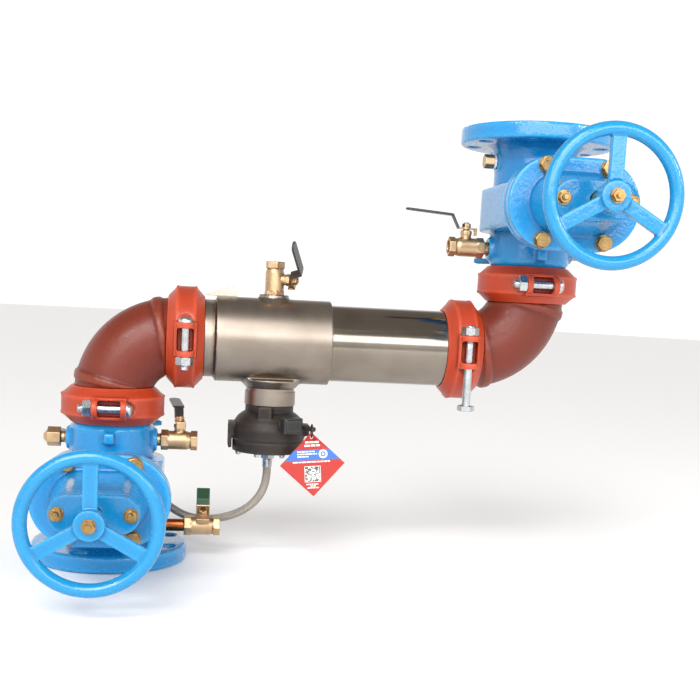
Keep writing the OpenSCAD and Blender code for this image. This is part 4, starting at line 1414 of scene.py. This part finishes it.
@dataclass
class Fasteners:
    """Every bolt, nut and screw that shows, set out by one shared tool."""

    tool: NodeTool

    def spread(
        self,
        name: str,
        piece: bmesh.types.BMesh | Fastener,
        points: list[Point],
        direction: Point,
        finish: Finish,
        spin: float = 1.0,
        seed: int = 1,
    ) -> bpy.types.Object:
        """Copy one piece to every point.

        Args:
            name: the new object's name.
            piece: the fastener.
            points: where each seat is, in millimetres.
            direction: Euler angles that turn +Z to the way the fasteners point.
            finish: their plating.
            spin: the largest random turn about their own axes, in radians.
            seed: seed of the random turns.

        Returns:
            The set as one object.
        """
        shape = piece.shape() if isinstance(piece, Fastener) else piece
        prototype = from_bmesh("fastener", shape, 30)
        thing = self.tool.run(
            name,
            points,
            30,
            Piece=prototype,
            Direction=direction,
            Spin=spin,
            Seed=seed,
            Material=finish.make(),
        )
        bpy.data.objects.remove(prototype)
        return thing

    def build(self) -> None:
        """Set out the valves' bolts, the couplings' track bolts and the cover screws."""
        front = (math.pi / 2, 0.0, 0.0)
        plates = cast_copy("seal_plate_pair", 1.2, 4, "seal_plates")
        install(plates, BLUE_EPOXY, "seal_plates")
        bonnet = [
            side.at(x, -BONNET_FACE, VALVE_CENTRE + z)
            for side in Side
            for x in (-43.5, 43.5)
            for z in (-50, 50)
        ]
        seal = [side.at(x, -SEAL_FACE, VALVE_CENTRE) for side in Side for x in (-45.5, 45.5)]
        for name, piece, points, seed in (
            ("bonnet_bolt", Fastener(19, 8, 11.5, 1.6), bonnet, 5),
            ("seal_plate_bolt", Fastener(14, 6, 9.6, 1.4, 4, 4.5, 1.25), seal, 9),
        ):
            bolts = self.spread(f"{name}_set", piece, points, front, YELLOW_ZINC, seed=seed)
            install(bolts, YELLOW_ZINC, f"{name}s")
        self.coupling_bolts()
        self.cover_screws()

    def track_bolt(self, low: float, high: float, nut_at: float, domed: bool) -> bmesh.types.BMesh:
        """One coupling bolt along Z through the origin.

        Args:
            low: height of its lower end.
            high: height of its upper end, under the dome where it has one.
            nut_at: height of the nut's underside.
            domed: whether the head is a dome on top; if not it is a hexagon at the bottom.

        Returns:
            The bolt with its nut.
        """
        r, pitch = 6.3, 2.0
        shape = bmesh.new()
        if domed:
            dome = [(r, high + rise) for r, rise in ((11, 0), (11, 2), (9.9, 5), (7.6, 7), (4, 8), (0, 8.2))]
            threads = [(r - 0.35 * (k % 2), low + 1 + k * pitch / 2) for k in range(22)]
            turn_profile(shape, [(0, low), (r - 1, low)] + threads + [(r, low + 26), (r, high)] + dome)
        else:
            threads = [(r - 0.35 * (k % 2), high - 1 - k * pitch / 2) for k in range(34)][::-1]
            turn_profile(shape, [(0, low), (r, low)] + threads + [(r - 1, high), (0, high)])
            add_hexagon(shape, 22.2, low - 8, 8.5)
        add_hexagon(shape, 22.2, nut_at, 12)
        return shape

    def coupling_bolts(self) -> None:
        """Eight coupling bolts: along X on the legs, along Z on the run, one of them long."""
        every = [(x, y, z) for x, z in COUPLINGS.values() for y in (-TRACK_BOLT_Y, TRACK_BOLT_Y)]
        along_x, upright, long_one = every[:2] + every[6:], every[2:4] + every[5:6], every[4:5]
        sets = []
        for points, turn, seed in ((along_x, (0.0, math.pi / 2, 0.0), 3), (upright, (0.0, 0.0, 0.0), 4)):
            bolt = self.track_bolt(-43.5, 24.5, -36.5, True)
            sets.append(self.spread("track_bolts", bolt, points, turn, ZINC_PLATE, 1.0, seed))
        long_bolt = self.spread(
            "long_bolt",
            self.track_bolt(-79, 39.5, 24.6, False),
            long_one,
            (0.0, 0.0, 0.3),
            ZINC_PLATE,
            0.0,
        )
        bolts = join("coupling_bolt_set", *sets, long_bolt)
        install(bolts, ZINC_PLATE, "coupling_bolts")

    def cover_screws(self) -> None:
        """Eight pan-head screws under the relief cover."""
        shape = bmesh.new()
        turn_profile(
            shape,
            [(0, 0), (4.4, 0), (4.4, 1.6), (4.0, 3.2), (3.0, 4.4), (1.6, 4.9), (1.1, 3.4), (0, 3.4)],
            32,
        )
        points = [
            (
                RELIEF_X + 49 * math.cos(math.radians(22.5 + 45 * k)),
                49 * math.sin(math.radians(22.5 + 45 * k)),
                167,
            )
            for k in range(8)
        ]
        screws = self.spread("cover_screw_set", shape, points, (math.pi, 0.0, 0.0), ZINC_PLATE)
        install(screws, ZINC_PLATE, "relief_screws")


@dataclass
class Pipework:
    """Couplings, elbows, the stainless body and tube, and the small fittings."""

    teeth: NodeTool

    def build(self) -> None:
        """Dress every coupling, elbow and tube."""
        for number in range(1, 5):
            self.coupling(number)
        for side in ("inlet", "outlet"):
            elbow = cast_copy(f"{side}_elbow_casting", 2.0, 6, f"{side}_elbow")
            install(elbow, OXIDE_PRIMER, f"{side}_elbow")
        self.shell()
        self.outlet_tube()
        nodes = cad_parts
        SATIN_STAINLESS.put_on(nodes["relief_neck"])
        EPDM_RUBBER.put_on(nodes["coupling_gaskets"], nodes["bonnet_gaskets"], nodes["relief_diaphragm"])
        FORGED_BRASS.put_on(*(nodes[f"check_{k}_{part}"] for k in (1, 2) for part in ("seat", "clapper")))
        ZINC_PLATE.put_on(nodes["check_1_spring"], nodes["check_2_spring"], nodes["relief_spring"])
        TURNED_BRONZE.put_on(nodes["relief_stem"])

    def coupling(self, number: int) -> None:
        """Round one coupling's corners and add the small teeth cast on its rim.

        Args:
            number: 1 to 4, in order of the flow.
        """
        upright = number in (1, 4)
        x, z = COUPLINGS[number]
        offsets = [(0, 0, d) if upright else (d, 0, 0) for d in (-13.5, 13.5)]
        teeth = self.teeth.run(
            "teeth",
            [(x + o[0], 0, z + o[2]) for o in offsets],
            Count=96,
            Radius=0.0744,
            Size=(0.0019, 0.0017, 0.002),
            Turn=(0.0, 0.0, 0.0) if upright else (0.0, -math.pi / 2, 0.0),
            Material=ORANGE_ENAMEL.make(),
        )
        body = cad_copy(f"coupling_{number}_casting", f"coupling_{number}")
        body.data.materials.clear()
        body = join(f"coupling_{number}_casting", body, teeth)
        skin(body, 1.4, 2)
        install(body, ORANGE_ENAMEL, f"coupling_{number}")

    def shell(self) -> None:
        """Lay a fine skin on the stainless body and bring it back to its true radii."""
        shell = cast_copy("check_body_shell", 1.8, 2, "check_shell")
        snap_round(shell.data, (0, 0, PIPE_Z), 0, (63.0, 60.0, PIPE_R, 54.15))
        install(shell, SATIN_STAINLESS, "check_shell")

    def outlet_tube(self) -> None:
        """Turn the polished tube with its rolled groove and a faint seam."""
        r, wall = PIPE_R, 3.0
        start, end = 317.0, 515.2
        groove = (end - 25.4, end - 15.9)
        profile = [
            (r - wall, start),
            (r, start),
            (r, 410.9),
            (r, 411.4),
            (r + 0.07, 412),
            (r, 412.6),
            (r, 413.1),
            (r, groove[0]),
            (r - 2.1, groove[0] + 0.5),
            (r - 2.1, groove[1] - 0.5),
            (r, groove[1]),
            (r, end - 0.4),
            (r - 0.4, end),
            (r - wall, end),
        ]
        place = Matrix.Translation((0, 0, PIPE_Z * MM)) @ Matrix.Rotation(math.pi / 2, 4, "Y")
        tube = lathe("outlet_tube_spool", profile, place, 192, 20)
        install(tube, BRIGHT_STAINLESS, "outlet_tube")


def repaint(thing: bpy.types.Object, finish: Finish, test: Callable[[Vector], bool]) -> None:
    """Give a second finish to the faces whose centre passes a test.

    Args:
        thing: the object.
        finish: the second finish.
        test: a function of a face's centre, in millimetres, that is true where it goes.
    """
    thing.data.materials.append(finish.make())
    last = len(thing.data.materials) - 1
    for face in thing.data.polygons:
        if test(face.center / MM):
            face.material_index = last


@dataclass
class TestCock:
    """A quarter-turn ball cock: forged body, strap lever dipped in plastisol, nut."""

    number: int
    place: Matrix
    nipple: float
    turn: float
    grip: Finish
    slot: str
    strap: float = 13.0
    ball_at: float = 27.5
    lever_z: float = 27.0

    def build(self) -> None:
        """Round the forging and the lever, and leave the strap near the stem bare."""
        k = self.number
        body = cast_copy(f"cock_{k}_forging", 0.75, 2, f"cock_{k}_body")
        install(body, FORGED_BRASS, f"cock_{k}_body")
        TURNED_BRONZE.put_on(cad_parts[f"cock_{k}_ball"])
        lever = cast_copy(f"cock_{k}_dipped_lever", 0.7, 3, f"cock_{k}_lever")
        install(lever, self.grip, f"cock_{k}_lever", f"cock_{k}")
        inverse = (
            self.place
            @ Matrix.Translation(((self.nipple + self.ball_at) * MM, 0, self.lever_z * MM))
            @ Matrix.Rotation(math.radians(self.turn), 4, "Z")
        ).inverted()

        def bare(centre: Vector) -> bool:
            """Whether a face belongs to the strap or the nut."""
            own = inverse @ (centre * MM)
            return own.x < self.strap * MM

        repaint(lever, FORGED_BRASS, bare)


def all_cocks() -> list[TestCock]:
    """The four test cocks where the CAD has them.

    Returns:
        Cocks 1 to 4, in order of the flow.
    """
    move, turn = Matrix.Translation, Matrix.Rotation
    top = move((RELIEF_X * MM, 0, (PIPE_Z + SHELL_R) * MM))
    return [
        TestCock(
            1,
            move((62 * MM, 0, 48 * MM)) @ turn(math.radians(35), 4, "X"),
            48,
            90,
            GREEN_VINYL,
            "green_vinyl",
            14.0,
        ),
        TestCock(2, move((66.6 * MM, 0, 178 * MM)), 5, 97, BLACK_VINYL, "black_vinyl"),
        TestCock(
            3,
            top @ turn(math.radians(157), 4, "Z") @ turn(-math.pi / 2, 4, "Y"),
            1,
            58,
            BLACK_VINYL,
            "black_vinyl",
        ),
        TestCock(
            4,
            Side.OUTLET.place @ move((66.6 * MM, 0, 178 * MM)) @ turn(math.pi, 4, "X"),
            6.5,
            0,
            BLACK_VINYL,
            "black_vinyl",
        ),
    ]


@dataclass
class ReliefValve:
    """The relief valve under the body, its cover, sensor housing and hose ends."""

    def build(self) -> None:
        """Dress the castings and the moulded housing, and make the hose ends."""
        for name, node, voxel, rounds in (
            ("relief_body_casting", "relief_body", 1.3, 4),
            ("relief_cover_casting", "relief_cover", 1.2, 3),
        ):
            install(cast_copy(name, voxel, rounds, node), BLACK_EPOXY, node)
        box = cast_copy("sensor_housing", 0.9, 8, "sensor_box")
        install(box, BLACK_NYLON, "sensor_box")
        self.hose_ends()
        self.fittings()

    def hose_ends(self) -> None:
        """Two hexagons with crimped ferrules, one at each end of the hose."""
        profile = [(0, -6), (4.9, -6), (4.9, 7), (5.6, 7), (5.6, 8), (7.4, 8.6)]
        for k in range(3):
            z = 10.2 + 3.2 * k
            profile += [(7.6, z), (6.9, z + 0.7), (6.9, z + 1.3), (7.6, z + 2.0)]
        profile += [(7.5, 20), (6.6, 20.4), (0, 20.4)]
        ends = []
        for place in (
            Matrix.Translation((RELIEF_X * MM, 0, 162 * MM)) @ Matrix.Rotation(math.pi, 4, "X"),
            Matrix.Translation((-84.1 * MM, 20 * MM, 178 * MM)) @ Matrix.Rotation(-math.pi / 2, 4, "X"),
        ):
            shape = bmesh.new()
            turn_profile(shape, profile)
            add_hexagon(shape, 20, 0, 7)
            shape.transform(place)
            ends.append(from_bmesh("hose_end", shape, 30))
        install(join("hose_ferrules", *ends), ZINC_PLATE, "hose_fittings")

    def fittings(self) -> None:
        """Brass fittings with one copper nipple, and white tape on the side plug's thread."""
        brass = cast_copy("pipe_fitting_set", 0.9, 2, "pipe_fittings")
        install(brass, FORGED_BRASS, "pipe_fittings")
        repaint(brass, DRAWN_COPPER, lambda c: 60 < c.x < 118 and c.z < 100)
        place = Matrix.Translation(((LEG_SPACING - 62) * MM, 0, (TOP_Z - 48) * MM)) @ Matrix.Rotation(
            -math.pi / 2, 4, "Y"
        )
        tape = lathe("thread_tape", [(10.2, 0.2), (11.2, 0.4), (11.0, 3.1), (10.2, 3.3)], place, 64, 40)
        install(tape, THREAD_TAPE)
        tab = cast_copy("lifting_tab", 0.8, 4, "plastic_tab")
        install(tab, MILKY_PLASTIC, "plastic_tab")


@dataclass
class HangTag:
    """A square card hung by one corner: red with a blue band, plain bars and a random pattern."""

    hole: Point = (291.5, -61.5, 197.5)
    corner: float = 7.5
    side: float = 68.0
    tilt: float = 4.7
    thick: float = 1.2
    hole_r: float = 2.6

    def place(self) -> Matrix:
        """From the card's frame (x right, y up from the upper corner, z out) to the row's.

        Returns:
            The transform.
        """
        return (
            Matrix.Translation(Vector(self.hole) * MM)
            @ Matrix.Rotation(math.pi / 2, 4, "X")
            @ Matrix.Rotation(math.radians(self.tilt), 4, "Z")
            @ Matrix.Translation((0, self.corner * MM, 0))
        )

    def slab(
        self, name: str, outline: list[tuple[float, float]], low: float, high: float
    ) -> bpy.types.Object:
        """A flat plate with the given outline, in the card's frame, in millimetres.

        Args:
            name: the new object's name.
            outline: its corners in order.
            low: height of its back.
            high: height of its face.

        Returns:
            The plate.
        """
        shape = bmesh.new()
        face = shape.faces.new([shape.verts.new((x * MM, y * MM, low * MM)) for x, y in outline])
        out = bmesh.ops.extrude_face_region(shape, geom=[face])
        for item in out["geom"]:
            if isinstance(item, bmesh.types.BMVert):
                item.co.z = high * MM
        bmesh.ops.recalc_face_normals(shape, faces=shape.faces)
        shape.transform(self.place())
        return from_bmesh(name, shape, 20)

    def half_width(self, down: float) -> float:
        """Half of the card's width at a distance below its upper corner."""
        return min(down, self.side * math.sqrt(2) - down)

    def band(self, top: float, bottom: float) -> list[tuple[float, float]]:
        """Outline of a strip across the card between two heights.

        Args:
            top: distance of its upper edge below the card's upper corner, in millimetres.
            bottom: the same of its lower edge.

        Returns:
            The corners in order.
        """
        edge = 0.05
        mid = self.side / math.sqrt(2)
        right = [(self.half_width(top) - edge, -top)]
        if top < mid < bottom:
            right.append((mid - edge, -mid))
        right.append((self.half_width(bottom) - edge, -bottom))
        return right + [(-x, y) for x, y in right[::-1]]

    def build(self, squares: NodeTool) -> None:
        """Cut the card and lay the print on its face.

        Args:
            squares: the tool that fills a square at random.
        """
        front = self.thick / 2
        diagonal = self.side * math.sqrt(2)
        card = self.slab(
            "hang_tag_card",
            [(0, 0), (diagonal / 2, -diagonal / 2), (0, -diagonal), (-diagonal / 2, -diagonal / 2)],
            -front,
            front,
        )
        hole = bmesh.new()
        bore = self.hole_r * MM
        bmesh.ops.create_cone(hole, cap_ends=True, segments=32, radius1=bore, radius2=bore, depth=9 * MM)
        hole.transform(self.place() @ Matrix.Translation((0, -self.corner * MM, 0)))
        cutter = from_bmesh("cutter", hole)
        cut = card.modifiers.new("hole", "BOOLEAN")
        cut.object, cut.operation, cut.solver = cutter, "DIFFERENCE", "EXACT"
        baked(card)
        bpy.data.objects.remove(cutter)
        RED_INK.put_on(card)
        prints = [card]

        def lay(outline: list[tuple[float, float]], finish: Finish, layer: int = 1) -> None:
            """Lay one flat print on the card."""
            ink = self.slab("ink", outline, front - 0.1, front + 0.05 * layer)
            finish.put_on(ink)
            prints.append(ink)

        lay(self.band(26.2, 41.5), BLUE_INK)
        for radius, finish, layer in ((6.5, WHITE_INK, 2), (3.9, BLUE_INK, 3), (1.9, WHITE_INK, 4)):
            ring = [
                (16.4 + radius * math.cos(math.pi * k / 24), -33 + radius * math.sin(math.pi * k / 24))
                for k in range(48)
            ]
            lay(ring, finish, layer)
        for down, left, right, height in (
            (16.2, -9.5, 10.5, 2.8),
            (21.2, -11, 12, 2.8),
            (29.6, -22, 4, 1.8),
            (33.2, -22, 7.5, 1.8),
            (36.9, -22, -5, 1.8),
            (45.2, -29, 29, 2.0),
            (78.6, -10, 9, 1.7),
            (81.3, -4, 4, 1.7),
            (84.0, -8.5, 8.5, 1.7),
        ):
            for a, b in words(left, right, height, seed=int(down * 10)):
                lay([(a, -down), (b, -down), (b, -down + height), (a, -down + height)], WHITE_INK, 2)
        lay([(-12, -74.5), (12, -74.5), (12, -50.5), (-12, -50.5)], WHITE_INK, 1)
        centre = self.place() @ Vector((0, -62.5 * MM, (front + 0.05) * MM))
        pattern = squares.run(
            "squares",
            [tuple(centre / MM)],
            Cells=14,
            Size=0.021,
            Chance=0.52,
            Turn=(math.pi / 2, -math.radians(self.tilt), 0.0),
            Seed=21,
            Material=DARK_INK.make(),
        )
        prints.append(pattern)
        tag = join("hang_tag_card", *prints)
        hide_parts("hang_tag")
        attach(tag, "tag")
        BLACK_NYLON.put_on(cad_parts["tag_tie"])


def words(left: float, right: float, height: float, seed: int) -> list[tuple[float, float]]:
    """Split a line into bars of word-like lengths, so that it reads as print without letters.

    Args:
        left: where the line starts, in millimetres.
        right: where it ends.
        height: height of the letters that the bars stand for.
        seed: seed of the lengths.

    Returns:
        Start and end of each bar.
    """
    random = np.random.default_rng(seed)
    spans, at = [], left
    while at < right - height:
        end = min(at + height * random.uniform(1.6, 4.0), right)
        spans.append((at, end))
        at = end + height * 0.45
    return spans


def squares_tool() -> NodeTool:
    """A tool that fills a square with small squares at random, fixed by a seed.

    Returns:
        The tool.
    """
    tool = NodeTool(
        "random_squares",
        {
            "Cells": ("NodeSocketInt", 14),
            "Size": ("NodeSocketFloat", 0.021),
            "Chance": ("NodeSocketFloat", 0.5),
            "Turn": ("NodeSocketVector", (0.0, 0.0, 0.0)),
            "Seed": ("NodeSocketInt", 1),
            "Material": ("NodeSocketMaterial", None),
        },
    )
    grid = tool.add(
        "GeometryNodeMeshGrid",
        {
            "Size X": tool.given["Size"],
            "Size Y": tool.given["Size"],
            "Vertices X": tool.given["Cells"],
            "Vertices Y": tool.given["Cells"],
        },
    )
    pick = tool.add(
        "FunctionNodeRandomValue",
        {"Probability": tool.given["Chance"], "Seed": tool.given["Seed"]},
        data_type="BOOLEAN",
    )
    cell = tool.add("ShaderNodeMath", {0: tool.given["Size"], 1: tool.given["Cells"]}, operation="DIVIDE")
    size = tool.add("ShaderNodeCombineXYZ", {"X": cell.outputs[0], "Y": cell.outputs[0], "Z": 0.0001})
    block = tool.add("GeometryNodeMeshCube", {"Size": size.outputs[0]})
    field_of = tool.add(
        "GeometryNodeInstanceOnPoints",
        {"Points": grid.outputs[0], "Selection": pick.outputs[3], "Instance": block.outputs[0]},
    )
    real = tool.add("GeometryNodeRealizeInstances", {"Geometry": field_of.outputs[0]})
    placed = tool.add(
        "GeometryNodeInstanceOnPoints",
        {"Points": tool.given["Geometry"], "Instance": real.outputs[0], "Rotation": tool.given["Turn"]},
    )
    tool.end(placed.outputs[0], tool.given["Material"])
    return tool


def main() -> None:
    """Build the scene: camera and hose first, then each sub-assembly."""
    logging.basicConfig(level=logging.INFO, format="%(name)s: %(message)s")
    Studio().build()
    BraidedHose().build()
    wheels = wheel_tool()
    for side in Side:
        GateValve(side).build(wheels)
    Pipework(ring_tool()).build()
    Fasteners(scatter_tool()).build()
    ReliefValve().build()
    for cock in all_cocks():
        cock.build()
    HangTag().build(squares_tool())


if __name__ == "__main__":
    main()
